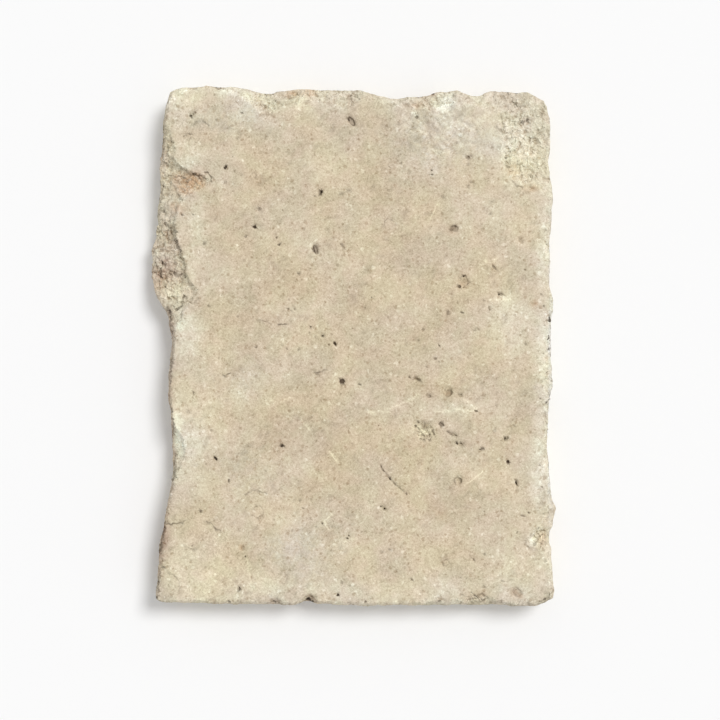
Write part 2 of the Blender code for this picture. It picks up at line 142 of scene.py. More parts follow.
# Small hollows, beside the large ones that the frame has
PORES = [
    Pore(233, 157, 1.5, 1.3, 0, 1.0), Pore(323, 335.7, 1.7, 1.5, 0, 1.4),
    Pore(310.5, 326.5, 1.7, 1.5, 0, 1.1), Pore(279.6, 245.3, 2.0, 1.6, 20, 1.3),
    Pore(276.5, 237.7, 1.5, 1.4, 0, 0.8), Pore(259, 209, 3.2, 1.1, 70, 0.6),
    Pore(246, 237.5, 1.6, 1.4, 0, 0.7), Pore(298.5, 273.5, 1.6, 1.5, 0, 0.8),
    Pore(193.5, 214.5, 1.4, 1.3, 0, 0.6), Pore(182, 215, 1.8, 1.6, 0, 0.8),
    Pore(204, 244, 1.9, 1.7, 0, 0.8), Pore(256.5, 348, 1.8, 1.6, 0, 0.7),
    Pore(371, 297.3, 1.5, 1.4, 0, 1.1), Pore(432, 170, 1.6, 1.4, 0, 0.9),
    Pore(432, 174.5, 1.6, 1.4, 0, 0.8), Pore(506, 158, 2.0, 1.7, 10, 0.9),
    Pore(523, 121.5, 4.6, 2.4, 25, 1.0), Pore(528, 119.5, 2.6, 2.2, 40, 1.2),
    Pore(499, 294.5, 1.9, 1.5, 10, 1.0), Pore(462, 312.5, 3.6, 1.3, -10, 0.7),
    Pore(439.5, 345, 2.0, 1.7, 0, 1.0), Pore(525, 270, 2.0, 1.7, 0, 0.5),
    Pore(459.6, 286.6, 3.0, 2.4, 60, 1.5), Pore(463.5, 276.5, 2.0, 1.6, 40, 1.2),
    Pore(476, 411, 3.6, 1.4, -15, 0.8), Pore(418.3, 422, 1.9, 1.6, 0, 1.0),
    Pore(415.6, 426, 2.0, 1.6, 0, 0.9), Pore(431, 427, 2.2, 1.5, 10, 0.5),
    Pore(451.2, 229.8, 2.8, 2.1, 30, 0.9), Pore(455.4, 226.6, 1.9, 1.5, 0, 0.7),
    Pore(428, 436.5, 4.0, 2.6, -10, 0.5),
    Pore(482, 449, 5.6, 1.2, 12, 0.8), Pore(461.2, 443.3, 1.7, 1.4, 60, 1.0),
    Pore(457, 443.7, 2.0, 1.5, -70, 1.3), Pore(389.8, 479, 2.8, 1.3, -55, 1.0),
    Pore(380.7, 506.6, 1.8, 1.5, 0, 1.0), Pore(384.6, 508.7, 1.6, 1.4, 0, 1.1),
    Pore(245, 556.5, 1.6, 1.4, 0, 0.9), Pore(192, 546, 1.9, 1.4, 60, 0.5),
    Pore(265.5, 548, 1.7, 1.4, 0, 0.35), Pore(228.5, 480.5, 2.8, 1.2, 75, 0.7),
    Pore(201, 511, 3.2, 1.1, 70, 0.7), Pore(193.5, 392.5, 2.0, 1.6, 10, 0.8),
    Pore(211, 430.5, 2.2, 2.0, 0, 0.6), Pore(320.6, 192.5, 2.6, 1.6, 80, 1.5),
    Pore(315, 196, 1.6, 1.3, 0, 0.6), Pore(216.2, 119.7, 1.6, 1.4, 0, 0.5),
    Pore(242, 113, 1.6, 1.5, 0, 0.8), Pore(237, 139, 1.6, 1.4, 0, 0.4),
    Pore(241, 175, 2.0, 1.6, 0, 0.3), Pore(294.8, 309.2, 1.7, 1.5, 0, 0.6),
    Pore(288, 309, 1.7, 1.5, 0, 0.7), Pore(290.8, 310.5, 1.6, 1.3, 0, 0.35),
    Pore(298, 349.5, 1.5, 1.3, 0, 0.6), Pore(287, 349, 1.5, 1.3, 0, 0.5),
    Pore(309, 332.8, 1.9, 1.5, 0, 0.4), Pore(315, 337.2, 1.6, 1.4, 0, 0.4),
    Pore(359.5, 384.5, 3.4, 1.4, -12, 0.7), Pore(349, 535.6, 1.6, 1.4, 0, 1.0),
    Pore(347.2, 538.3, 1.8, 1.4, -50, 1.0), Pore(331, 550, 2.0, 1.4, 45, 0.4),
    Pore(322.3, 523.3, 1.7, 1.4, 0, 0.9), Pore(315.7, 527, 2.1, 1.8, 0, 0.4),
    Pore(514.6, 426, 1.8, 1.5, 0, 0.5), Pore(496.4, 405.4, 1.9, 1.6, 0, 0.4),
    Pore(485, 554, 2.5, 1.6, 60, 0.7), Pore(474, 560, 3.4, 1.3, -55, 0.6),
    Pore(523, 516, 5.0, 1.4, -8, 0.6), Pore(528.5, 512.5, 1.7, 1.4, 0, 0.8),
    Pore(460, 577.5, 1.7, 1.5, 0, 0.8), Pore(466, 578, 1.5, 1.3, 0, 0.5),
    Pore(412, 580, 2.6, 1.1, 12, 0.6), Pore(502, 581, 2.5, 1.8, 0, 0.6),
    Pore(299.5, 501, 1.4, 1.2, 0, 0.6), Pore(303, 508, 1.6, 1.4, 0, 0.7),
    Pore(190.5, 138, 1.8, 1.4, 20, 0.4), Pore(423, 329.5, 3.2, 2.6, 0, 0.7),
    Pore(418.4, 340.5, 2.4, 2.0, 0, 0.5), Pore(188, 412, 3.2, 2.8, 0, 0.6),
    Pore(484, 587, 3.0, 2.6, 0, 0.6), Pore(435.3, 358.7, 2.4, 1.6, 30, 0.7),
    Pore(426.8, 367, 1.8, 1.5, 0, 0.4), Pore(438.6, 361.6, 1.6, 1.4, 0, 0.4),
    Pore(401.2, 163.3, 2.2, 1.5, 80, 0.5), Pore(389.8, 167, 1.6, 1.4, 0, 0.5),
    Pore(341.7, 582.7, 3.0, 2.0, 30, 0.6), Pore(350, 586, 2.4, 1.6, -30, 0.4),
    Pore(342, 244.7, 3.4, 1.6, -10, 0.7), Pore(345, 248, 2.0, 1.4, -50, 0.4),
    Pore(494.4, 431, 4.0, 3.0, 40, 0.6), Pore(237.7, 316.7, 2.2, 1.8, 0, 0.5),
    Pore(442.3, 197, 3.6, 1.8, -35, 0.5), Pore(208, 306, 2.8, 1.4, 80, 0.6),
    Pore(225.3, 182.7, 2.8, 2.0, 45, 0.5), Pore(381.7, 552.3, 3.2, 2.2, 30, 0.5),
    Pore(390, 549.7, 2.0, 1.3, 60, 0.5), Pore(492.3, 201.7, 2.8, 2.2, 0, 0.5),
    Pore(490.3, 214.4, 1.6, 1.3, 0, 0.5), Pore(484, 300.7, 2.8, 1.8, -20, 0.4),
    Pore(540.9, 294.3, 1.8, 1.5, 0, 0.6), Pore(517, 532.6, 2.6, 1.4, 45, 0.5),
    Pore(364.8, 308.2, 1.8, 1.6, 0, 0.4), Pore(288.7, 299.6, 1.7, 1.5, 0, 0.35),
    Pore(190.6, 115.8, 2.3, 1.9, 0, 1.3), Pore(348.6, 119.5, 2.6, 1.6, -60, 1.1),
    Pore(471.5, 156, 1.9, 1.2, 30, 0.5), Pore(468.5, 163.7, 1.7, 1.4, 0, 0.5),
    Pore(505.7, 438.2, 3.6, 1.2, 32, 1.1), Pore(308, 600.2, 5.2, 3.0, 0, 2.8),
    Pore(311.5, 602, 4.6, 2.0, -18, 2.4), Pore(274.5, 602.5, 3.6, 1.5, 0, 0.9),
    Pore(544.5, 599, 3.6, 1.3, 30, 0.7), Pore(540.2, 398.7, 1.6, 1.4, 0, 0.6),
    Pore(433, 92, 2.6, 1.6, 20, 0.7), Pore(539.5, 465.5, 1.8, 1.5, 0, 0.6),
    Pore(526, 344, 1.7, 1.4, 0, 0.5), Pore(542, 487, 1.6, 1.3, 0, 0.6),
    Pore(549.8, 319, 4.0, 1.6, 85, 1.2), Pore(548.4, 337.5, 4.6, 1.2, 85, 0.9),
    Pore(549.4, 348.4, 2.4, 1.6, 90, 0.9), Pore(547, 401.5, 4.2, 1.6, 72, 1.0),
    Pore(543.7, 305.8, 1.6, 1.3, 0, 0.6), Pore(229.3, 601.5, 2.6, 1.4, 10, 0.8),
    Pore(365.5, 601.8, 2.4, 1.3, 20, 0.7), Pore(439.4, 601, 3.0, 1.5, 0, 0.8),
]

# The large pits that aren't dark all over
PIT_LOOKS = [
    PitLook(315, 250, 0.5, 1.0, 195), PitLook(351, 122, 0.28, 0.8),
    PitLook(453, 229, 0.4, 0.6, 90), PitLook(464, 283, 0.04, 0.2, 60),
    PitLook(448, 393, 0.34, 0.6, 0), PitLook(424, 432, 0.05, 0.22),
    PitLook(458, 481, 0.1, 0.65, 20), PitLook(516, 592, 0.16, 0.36),
    PitLook(519, 241, 0.25, 0.35), PitLook(493, 268, 0.5, 0.5), PitLook(415, 379, 0.1, 0.4, 90),
    PitLook(428, 396, 0.4, 0.55, 20), PitLook(459, 395, 0.25, 0.6, 90),
    PitLook(446, 313, 0.5, 0.55), PitLook(488, 308, 0.4, 0.5), PitLook(452, 434, 0.25, 0.3),
    PitLook(460, 444, 0.15, 0.25), PitLook(384, 508, 0.15, 0.25), PitLook(440, 424, 0.6, 0.8),
    PitLook(341.5, 381, 0.95, 1.0), PitLook(191, 116, 0.15, 0.25),
    PitLook(243, 547, 0.3, 0.35), PitLook(499, 294, 0.5, 0.5), PitLook(416, 118, 0.5, 0.5),
    PitLook(505, 438, 0.6, 0.75), PitLook(466, 158, 0.55, 0.7),
]

# Cracks, cut shells and pale veins, and dark lines of painted shade along the left rim
TRACES = [
    Trace(Mark.SHELL, ((193, 125), (196, 122), (200, 120.5), (204, 121.5), (208, 125)), 0.7, 0.4),
    Trace(Mark.CRACK, ((183, 137), (187, 134.5), (192, 134)), 0.9, 0.7),
    Trace(Mark.SHELL, ((245, 495), (250, 491.5), (256, 490.5), (262, 492.5), (267, 494)), 0.8, 0.5),
    Trace(Mark.SHELL, ((254, 509), (256, 506), (260, 506), (263, 510), (262, 516), (258, 518),
                       (253, 516)), 0.8, 0.5),
    Trace(Mark.SHELL, ((168, 573), (173, 575), (178, 580), (180, 587), (179, 591)), 0.9, 0.4),
    Trace(Mark.SHELL, ((441, 561), (447, 560), (450, 564), (444, 566), (441, 561)), 0.7, 0.4),
    Trace(Mark.SHELL, ((468, 188), (469, 183.5), (472, 182), (475, 186)), 0.8, 0.4),
    Trace(Mark.CRACK, ((381, 466), (383.5, 471), (387, 475), (391, 480), (396, 485), (400, 488),
                       (403.5, 491.5), (407, 495)), 0.9, 0.9),
    Trace(Mark.SHELL, ((257.4, 320.6), (261.3, 320.3), (265.8, 321.7), (270.2, 323.9)), 1.0, 0.4),
    Trace(Mark.SHELL, ((383.7, 225.6), (385, 220.5), (388, 218.8), (391.6, 220.7)), 0.8, 0.3),
    Trace(Mark.SHELL, ((338.9, 195), (343.8, 193.3), (348, 190.7), (351, 190.5)), 0.9, 0.4),
    Trace(Mark.SHELL, ((474, 330.6), (477, 327.7), (479, 329.6)), 0.9, 0.4),
    Trace(Mark.SHELL, ((251.4, 173.8), (254, 172.5), (256, 175), (255.6, 178.2)), 0.8, 0.2),
    Trace(Mark.SHELL, ((256.5, 491.5), (259, 487.5)), 0.9, 0.3),
    Trace(Mark.CRACK, ((421, 424), (423.5, 422.8), (425.3, 424.6), (424, 426.8), (421.6, 426.4),
                       (421, 424)), 0.8, 0.5),
    Trace(Mark.CRACK, ((418, 427.5), (420.5, 431), (423.5, 434.5)), 0.8, 0.5),
    Trace(Mark.CRACK, ((432.8, 429.5), (433.2, 434.5)), 1.0, 0.8),
    Trace(Mark.CRACK, ((422, 434.5), (425, 436.5), (429, 435.5)), 0.8, 0.5),
    Trace(Mark.CRACK, ((420.5, 439), (425, 439.8)), 1.0, 0.8),
    Trace(Mark.CRACK, ((427, 439.5), (430, 440), (432, 437)), 0.9, 0.6),
    Trace(Mark.SHELL, ((426, 427.5), (430, 425.3), (432.5, 427.5)), 0.8, 0.4),
    Trace(Mark.CRACK, ((461, 279), (461.5, 276), (465, 275), (467, 279), (469.5, 282), (467, 285.5),
                       (463.5, 287)), 0.9, 0.5),
    Trace(Mark.CRACK, ((278, 325), (287, 324)), 0.9, 0.35),
    Trace(Mark.CRACK, ((314, 372.6), (320, 372), (326.6, 369.5)), 0.9, 0.5),
    Trace(Mark.CRACK, ((224, 376), (230, 373)), 0.8, 0.4),
    Trace(Mark.CRACK, ((447, 432), (451, 434.5), (456, 436)), 0.8, 0.7),
    Trace(Mark.CRACK, ((409, 377.5), (413, 379.5), (417, 379), (420, 380.5)), 1.1, 1.0),
    Trace(Mark.SHELL, ((455, 484), (454, 479), (458, 477), (461, 480), (460, 484)), 1.0, 0.6),
    Trace(Mark.SHELL, ((529, 548), (525.5, 545), (525.5, 541), (529, 538), (532, 534.5), (535, 536),
                       (536.5, 541), (534, 545.5)), 1.0, 0.7),
    Trace(Mark.SHELL, ((537, 532), (540, 536), (538, 541)), 1.0, 0.7),
    Trace(Mark.SHELL, ((541, 545), (544, 542), (547, 545)), 1.0, 0.6),
    Trace(Mark.VEIN, ((529.5, 541.5), (531.5, 540)), 1.4, 0.0),
    Trace(Mark.VEIN, ((532.8, 538), (533.6, 540.5)), 1.3, 0.0),
    Trace(Mark.VEIN, ((541, 538), (543, 540)), 1.3, 0.0),
    Trace(Mark.SHELL, ((462, 594), (466, 597), (473, 598.5), (480, 598)), 0.8, 0.3),
    Trace(Mark.SHELL, ((445, 390), (446.5, 387.3), (450, 387.5), (451.5, 391), (451, 395),
                       (448, 397.3), (445, 395)), 0.8, 0.4),
    Trace(Mark.SHELL, ((512.8, 592), (514.3, 589), (517.5, 588.8), (519.5, 591.5), (518.5, 594.7),
                       (515, 595.3), (512.8, 592)), 0.9, 0.4),
    Trace(Mark.CRACK, ((178, 176.5), (182, 176), (186, 178.5), (188, 180.5)), 1.2, 1.0),
    Trace(Mark.CRACK, ((193, 173), (197, 176), (200, 179), (204, 178)), 1.1, 0.9),
    Trace(Mark.CRACK, ((471, 593), (476, 595), (481, 598), (484, 599)), 0.8, 0.4),
    Trace(Mark.CRACK, ((206, 521), (212, 524), (216, 529), (221, 531)), 0.8, 0.3),
    Trace(Mark.CRACK, ((166, 523), (172, 524), (181, 523), (186, 520)), 0.8, 0.4),
    Trace(Mark.SHELL, ((184, 545), (190, 549), (196, 549)), 0.8, 0.3),
    Trace(Mark.CRACK, ((204, 172), (208, 173), (211, 177), (211, 182)), 1.0, 0.8),
    Trace(Mark.CRACK, ((163, 223), (166, 224.5), (168.5, 227)), 1.3, 1.2),
    Trace(Mark.CRACK, ((173, 229), (176, 232)), 1.3, 1.2),
    Trace(Mark.CRACK, ((172.5, 239), (175, 240.5), (177, 243)), 1.9, 1.8),
    Trace(Mark.CRACK, ((177, 246.5), (179, 248.5), (181, 251)), 1.8, 1.7),
    Trace(Mark.CRACK, ((160.5, 260.5), (162, 263), (163.5, 265)), 1.3, 1.0),
    Trace(Mark.CRACK, ((159, 271), (159.5, 274), (160.5, 277)), 1.6, 1.2),
    Trace(Mark.CRACK, ((173, 272.5), (177, 275.5), (181.5, 274), (185.5, 277)), 1.4, 1.3),
    Trace(Mark.CRACK, ((162, 209.5), (163.5, 212)), 1.2, 1.0),
    Trace(Mark.SHELL, ((183.5, 296.5), (188, 301.5), (193, 304.5), (196, 301.5), (198, 298.5)), 1.2, 0.9),
    Trace(Mark.CRACK, ((183.5, 297), (181, 303), (178, 308.5), (175, 309.5), (172, 307)), 1.1, 0.8),
    Trace(Mark.CRACK, ((169, 311), (170.5, 319)), 1.0, 0.8),
    Trace(Mark.SHELL, ((496, 127), (500, 130), (503, 134)), 1.2, 0.7),
    Trace(Mark.SHELL, ((506, 163), (508, 168), (511, 172)), 1.4, 1.0),
    Trace(Mark.SHELL, ((512, 181), (516, 186), (522, 187)), 1.1, 0.8),
    Trace(Mark.SHELL, ((529, 175), (533, 177), (537, 176)), 1.2, 0.8),
    Trace(Mark.SHELL, ((514, 102), (520, 105), (526, 106)), 1.1, 0.6),
    # The lines from here to the near-left corner have no depth: they are painted shade of the left side
    # wall, which faces away from the key light, drawn along the rim.
    Trace(Mark.CRACK, ((162.2, 184), (161.5, 192), (160.8, 200)), 1.1, 0.0),
    Trace(Mark.CRACK, ((165.5, 304), (169.2, 313), (170.3, 324), (172.4, 334)), 1.1, 0.0),
    Trace(Mark.SHELL, ((171, 360), (170, 371), (170.2, 384)), 1.1, 0.0),
    Trace(Mark.CRACK, ((170.6, 404), (172.5, 414), (173, 424), (173.6, 434)), 1.1, 0.0),
    Trace(Mark.CRACK, ((174.4, 454), (174.2, 466), (172.8, 480)), 1.1, 0.0),
    Trace(Mark.CRACK, ((165.4, 526), (162, 539), (160.2, 552)), 1.1, 0.0),
    Trace(Mark.SHELL, ((158.4, 574), (157.6, 588), (157.2, 598)), 1.0, 0.0),
    Trace(Mark.CRACK, ((215.5, 87), (219, 88.3), (224, 89)), 0.9, 0.4),
    Trace(Mark.VEIN, ((352, 538.9), (353.8, 538.9)), 1.2, 0.0),
    Trace(Mark.VEIN, ((355.4, 539.4), (356.9, 539.4)), 1.2, 0.0),
    Trace(Mark.VEIN, ((344.6, 541.6), (346, 541.2)), 1.1, 0.0),
    Trace(Mark.VEIN, ((339.5, 517), (342.5, 516)), 1.1, 0.0),
    Trace(Mark.VEIN, ((402.6, 163), (403.6, 163.6)), 1.1, 0.0),
    Trace(Mark.VEIN, ((331, 515), (324, 521), (326, 526), (331, 531)), 0.9, 0.0),
    Trace(Mark.VEIN, ((411.5, 427), (413, 428.5)), 1.2, 0.0),
    Trace(Mark.VEIN, ((196, 187.5), (199.5, 184)), 1.4, 0.0),
    Trace(Mark.VEIN, ((191.5, 191.5), (195.5, 190)), 1.4, 0.0),
    Trace(Mark.VEIN, ((203, 187), (206, 185)), 1.2, 0.0),
    Trace(Mark.VEIN, ((420, 434), (423, 432.5), (426, 431)), 1.2, 0.0),
    Trace(Mark.VEIN, ((419, 427), (422, 430)), 1.3, 0.0),
    Trace(Mark.VEIN, ((426, 434), (429, 431)), 1.3, 0.0),
    Trace(Mark.VEIN, ((418, 436), (421, 439)), 1.2, 0.0),
    Trace(Mark.VEIN, ((430, 219), (434, 211), (437, 204)), 0.9, 0.0),
    Trace(Mark.VEIN, ((386, 409), (395, 407), (402, 403), (410, 401), (417, 396)), 0.8, 0.0),
    Trace(Mark.VEIN, ((436, 412), (446, 411), (456, 410), (466, 411), (476, 410)), 0.9, 0.0),
    Trace(Mark.VEIN, ((464, 399), (470, 404), (476, 409)), 0.8, 0.0),
    Trace(Mark.VEIN, ((368, 413), (380, 411), (390, 413)), 0.7, 0.0),
    Trace(Mark.VEIN, ((329, 451), (333, 456), (337, 462)), 0.9, 0.0),
    Trace(Mark.VEIN, ((270, 400), (280, 402), (291, 397)), 0.9, 0.0),
    Trace(Mark.VEIN, ((300, 418), (305, 425), (311, 431)), 1.2, 0.0),
    Trace(Mark.VEIN, ((489, 300), (500, 299), (511, 300)), 1.0, 0.0),
    Trace(Mark.VEIN, ((484, 260), (488, 263), (493, 262), (496, 258)), 1.1, 0.0),
    Trace(Mark.VEIN, ((247, 558), (249, 568), (250, 578), (252, 590)), 1.1, 0.0),
    Trace(Mark.VEIN, ((465, 485), (475, 478), (484, 470)), 0.9, 0.0),
]

# Where weather has changed the honed face and its edges, and where they are roughest; some grime patches
# are painted shade and some bleached ones painted highlight, as noted below
PATCHES = [
    Patch(Tint.RUST, 192, 179, 15, 11, 1.0), Patch(Tint.RUST, 185, 188, 11, 7, 0.75),
    Patch(Tint.RUST, 179, 177, 9, 6, 0.7), Patch(Tint.TAN, 257.5, 99, 5, 5, 1.0),
    Patch(Tint.RUST, 291, 92, 6, 4, 0.55), Patch(Tint.RUST, 311, 92, 6, 4, 0.55),
    Patch(Tint.RUST, 415, 108, 6, 5, 0.4), Patch(Tint.RUST, 468, 598, 9, 3, 0.2),
    Patch(Tint.RUST, 177, 207, 8, 7, 0.5), Patch(Tint.RUST, 448, 392, 4, 4, 0.5),
    Patch(Tint.RUST, 516, 592, 4, 4, 0.3), Patch(Tint.RUST, 521, 595, 3, 2.5, 0.5),
    Patch(Tint.RUST, 242.5, 547, 3, 4, 0.6), Patch(Tint.RUST, 541, 540, 6, 8, 0.4),
    Patch(Tint.TAN, 420, 106, 8, 6, 0.8),
    Patch(Tint.RUST, 513, 172, 7, 8, 0.5), Patch(Tint.RUST, 530, 188, 10, 4, 0.5),
    Patch(Tint.RUST, 480, 595, 9, 4, 0.2), Patch(Tint.TAN, 440, 515, 13, 11, 0.5),
    Patch(Tint.RUST, 160, 280, 8, 12, 0.4), Patch(Tint.BLEACHED_AND_HIGHLIGHT, 520, 575, 34, 26, 0.45),
    Patch(Tint.GRIME_AND_SHADE, 163, 272, 15, 16, 0.85), Patch(Tint.GRIME_AND_SHADE, 169, 242, 14, 17, 0.35),
    Patch(Tint.CRUMBLED, 425, 431, 12, 10, 0.85), Patch(Tint.CRUMBLED, 533, 541, 9, 9, 0.65),
    Patch(Tint.CRUMBLED, 266, 112, 10, 6, 0.8), Patch(Tint.CRUMBLED, 442, 108, 12, 6, 0.8),
    Patch(Tint.CRUMBLED, 415, 112, 6, 6, 0.7), Patch(Tint.CRUMBLED, 540, 495, 5, 12, 0.7),
    Patch(Tint.CRUMBLED, 303, 105, 12, 5, 0.7), Patch(Tint.CRUMBLED, 440, 130, 46, 30, 0.46),
    Patch(Tint.ROUGH, 522, 601, 30, 5, 0.7),
    # Grime down the left side: partly dirt and partly painted shade of that side, which faces away from
    # the key light.
    Patch(Tint.GRIME_AND_SHADE, 161, 145, 5, 18, 0.5), Patch(Tint.GRIME_AND_SHADE, 168, 340, 6, 36, 1.0),
    Patch(Tint.GRIME_AND_SHADE, 168, 430, 6, 60, 1.0), Patch(Tint.GRIME_AND_SHADE, 162, 535, 6, 60, 1.0),
    # At (308, 600), (545, 599) and (275, 603) the grime is painted shade under small overhangs of the near
    # edge.
    Patch(Tint.GRIME_AND_SHADE, 526, 121, 7, 4, 0.5), Patch(Tint.GRIME_AND_SHADE, 308, 600, 7, 5, 1.0),
    Patch(Tint.GRIME_AND_SHADE, 545, 599, 6, 4, 0.3), Patch(Tint.GRIME_AND_SHADE, 220, 87, 8, 2.5, 0.5),
    Patch(Tint.GRIME_AND_SHADE, 275, 603, 5, 3, 0.5),
    Patch(Tint.ROUGH, 523, 140, 28, 50, 1.0), Patch(Tint.ROUGH, 168, 258, 24, 50, 1.0),
    Patch(Tint.ROUGH, 190, 182, 24, 16, 1.0), Patch(Tint.ROUGH, 262, 100, 18, 12, 0.8),
    Patch(Tint.ROUGH, 540, 540, 12, 16, 1.0), Patch(Tint.ROUGH, 466, 598, 26, 8, 0.8),
    Patch(Tint.ROUGH, 320, 94, 60, 8, 0.8), Patch(Tint.ROUGH, 430, 100, 40, 9, 0.8),
    Patch(Tint.ROUGH, 549, 400, 6, 170, 0.6), Patch(Tint.ROUGH, 165, 160, 8, 50, 0.8),
    Patch(Tint.TAN, 281, 436, 17, 32, 0.6), Patch(Tint.TAN, 343, 300, 22, 22, 0.45),
    Patch(Tint.TAN, 380, 358, 28, 16, 0.45), Patch(Tint.TAN, 268, 322, 18, 12, 0.4),
    Patch(Tint.TAN, 256, 180, 14, 16, 0.3), Patch(Tint.TAN, 428, 387, 24, 11, 0.6),
    Patch(Tint.TAN, 432, 510, 30, 22, 0.4), Patch(Tint.TAN, 372, 203, 26, 11, 0.3),
    Patch(Tint.TAN, 345, 118, 16, 12, 0.3), Patch(Tint.TAN, 490, 445, 34, 20, 0.35),
    Patch(Tint.TAN, 285, 290, 24, 20, 0.3), Patch(Tint.TAN, 345, 455, 22, 26, 0.35),
    Patch(Tint.TAN, 465, 278, 16, 12, 0.2), Patch(Tint.TAN, 455, 228, 9, 8, 0.3),
    Patch(Tint.TAN, 172, 197, 9, 9, 0.4), Patch(Tint.TAN, 415, 460, 24, 16, 0.25),
    Patch(Tint.GREY, 228, 118, 36, 18, 0.45), Patch(Tint.GREY, 300, 550, 40, 34, 0.5),
    Patch(Tint.GREY, 245, 470, 30, 26, 0.4), Patch(Tint.GREY, 440, 140, 70, 36, 0.45),
    Patch(Tint.GREY, 240, 380, 26, 26, 0.3), Patch(Tint.CREAM, 518, 155, 26, 40, 0.5),
    Patch(Tint.TAN, 271, 113, 6, 5, 0.8), Patch(Tint.TAN, 453, 229, 7, 7, 0.9),
    Patch(Tint.TAN, 516, 592, 6, 6, 1.0), Patch(Tint.CREAM, 246, 96, 6, 5, 0.8),
    Patch(Tint.CREAM, 300, 100, 9, 6, 0.7), Patch(Tint.CREAM, 201, 588, 9, 7, 0.5),
    Patch(Tint.BLEACHED_AND_HIGHLIGHT, 229, 92, 10, 7, 1.0), Patch(Tint.BLEACHED_AND_HIGHLIGHT, 443, 102, 11, 8, 0.9),
    # The bleached patches along the right edge, from x 539 to 545 here and at (545, 390) further on, are
    # partly pale powdery stone and partly painted highlight on the edge that faces the key light.
    Patch(Tint.BLEACHED_AND_HIGHLIGHT, 531, 541, 6, 6, 0.4), Patch(Tint.BLEACHED_AND_HIGHLIGHT, 541, 350, 7, 50, 0.7),
    Patch(Tint.BLEACHED_AND_HIGHLIGHT, 539, 465, 7, 45, 0.8), Patch(Tint.BLEACHED_AND_HIGHLIGHT, 542, 255, 6, 40, 0.5),
    Patch(Tint.GREY, 552, 390, 4, 150, 1.0), Patch(Tint.GRIME_AND_SHADE, 432, 92, 4, 3, 0.6),
    Patch(Tint.RUST, 533, 303, 4, 3.5, 0.8), Patch(Tint.RUST, 464, 282, 5, 6, 0.3),
    Patch(Tint.BLEACHED_AND_HIGHLIGHT, 344, 541, 10, 13, 0.5), Patch(Tint.TAN, 512, 112, 12, 8, 0.2),
    Patch(Tint.BLEACHED_AND_HIGHLIGHT, 192, 152, 14, 13, 0.7), Patch(Tint.BLEACHED_AND_HIGHLIGHT, 196, 232, 9, 32, 0.6),
    Patch(Tint.BLEACHED_AND_HIGHLIGHT, 190, 335, 15, 26, 0.6), Patch(Tint.BLEACHED_AND_HIGHLIGHT, 192, 440, 18, 40, 0.5),
    Patch(Tint.BLEACHED_AND_HIGHLIGHT, 507, 315, 20, 28, 0.7), Patch(Tint.BLEACHED_AND_HIGHLIGHT, 240, 398, 30, 10, 0.3),
    Patch(Tint.BLEACHED_AND_HIGHLIGHT, 457, 408, 24, 8, 0.5), Patch(Tint.BLEACHED_AND_HIGHLIGHT, 345, 590, 46, 9, 0.4),
    Patch(Tint.BLEACHED_AND_HIGHLIGHT, 430, 165, 12, 12, 0.3), Patch(Tint.BLEACHED_AND_HIGHLIGHT, 460, 462, 14, 9, 0.3),
    Patch(Tint.BLEACHED_AND_HIGHLIGHT, 545, 390, 8, 60, 0.4), Patch(Tint.BLEACHED_AND_HIGHLIGHT, 450, 585, 16, 14, 0.4),
    Patch(Tint.CREAM, 205, 575, 46, 26, 0.42), Patch(Tint.CREAM, 264, 586, 26, 14, 0.5),
    Patch(Tint.CREAM, 184, 98, 16, 9, 0.7), Patch(Tint.CREAM, 262, 101, 15, 9, 0.5),
    Patch(Tint.CREAM, 178, 435, 5, 30, 0.7), Patch(Tint.BLEACHED_AND_HIGHLIGHT, 186, 118, 14, 16, 0.5),
    Patch(Tint.RUST, 441, 515, 10, 9, 0.25),
    Patch(Tint.CREAM, 182, 328, 10, 8, 0.5), Patch(Tint.CREAM, 174, 290, 9, 9, 0.5),
    Patch(Tint.CREAM, 325, 160, 16, 16, 0.35), Patch(Tint.CREAM, 425, 470, 22, 18, 0.2),
    Patch(Tint.CREAM, 365, 505, 12, 20, 0.3), Patch(Tint.CREAM, 222, 540, 16, 12, 0.3),
]


def from_picture(px: float, py: float) -> Vector:
    """Turns a place in the picture into one on the slab.

    Args:
        px: pixels from the picture's left edge.
        py: pixels from the picture's top edge.

    Returns:
        The place on the honed face from the slab's middle, in millimetres.
    """
    across, up = px - PICTURE_MIDDLE_PX[0], PICTURE_MIDDLE_PX[1] - py
    return Vector((CAMERA_X + across * FACE_SCALE, CAMERA_Y + up * FACE_SCALE))


def smooth_step(value: np.ndarray, start: float, end: float) -> np.ndarray:
    """Eases from 0 at the start to 1 at the end.

    Args:
        value: the numbers to ease.
        start: where the result leaves 0.
        end: where the result reaches 1; it may lie below the start.

    Returns:
        The eased numbers.
    """
    share = np.clip((value - start) / (end - start), 0.0, 1.0)
    return share * share * (3.0 - 2.0 * share)


def wavy(points: np.ndarray, length: float, seed: int) -> np.ndarray:
    """Smooth noise over a length.

    Args:
        points: places in millimetres, one to a row.
        length: how far apart its swells lie, in millimetres.
        seed: which noise it is.

    Returns:
        Numbers from about -1 to 1, one for each place.
    """
    shift = np.array([17.3, 5.1, 9.7]) * seed
    return np.array([2.0 * noise.noise(p) for p in points / length + shift])


def facets(points: np.ndarray, size: float, seed: int) -> np.ndarray:
    """Flat facets that each tilt their own way, as stone breaks.

    Args:
        points: places in millimetres, one to a row.
        size: how wide a facet is, in millimetres.
        seed: which facets they are.

    Returns:
        Numbers from about -1 to 1, one for each place.
    """
    heights = []
    for place in points / size + np.array([3.1, 11.9, 7.7]) * seed:
        centre = noise.voronoi(place)[1][0]
        tilt = noise.noise_vector(centre * 5.3)
        heights.append(2.0 * tilt.dot(Vector(place) - centre) + 1.2 * noise.noise(centre * 3.7))
    return np.array(heights)


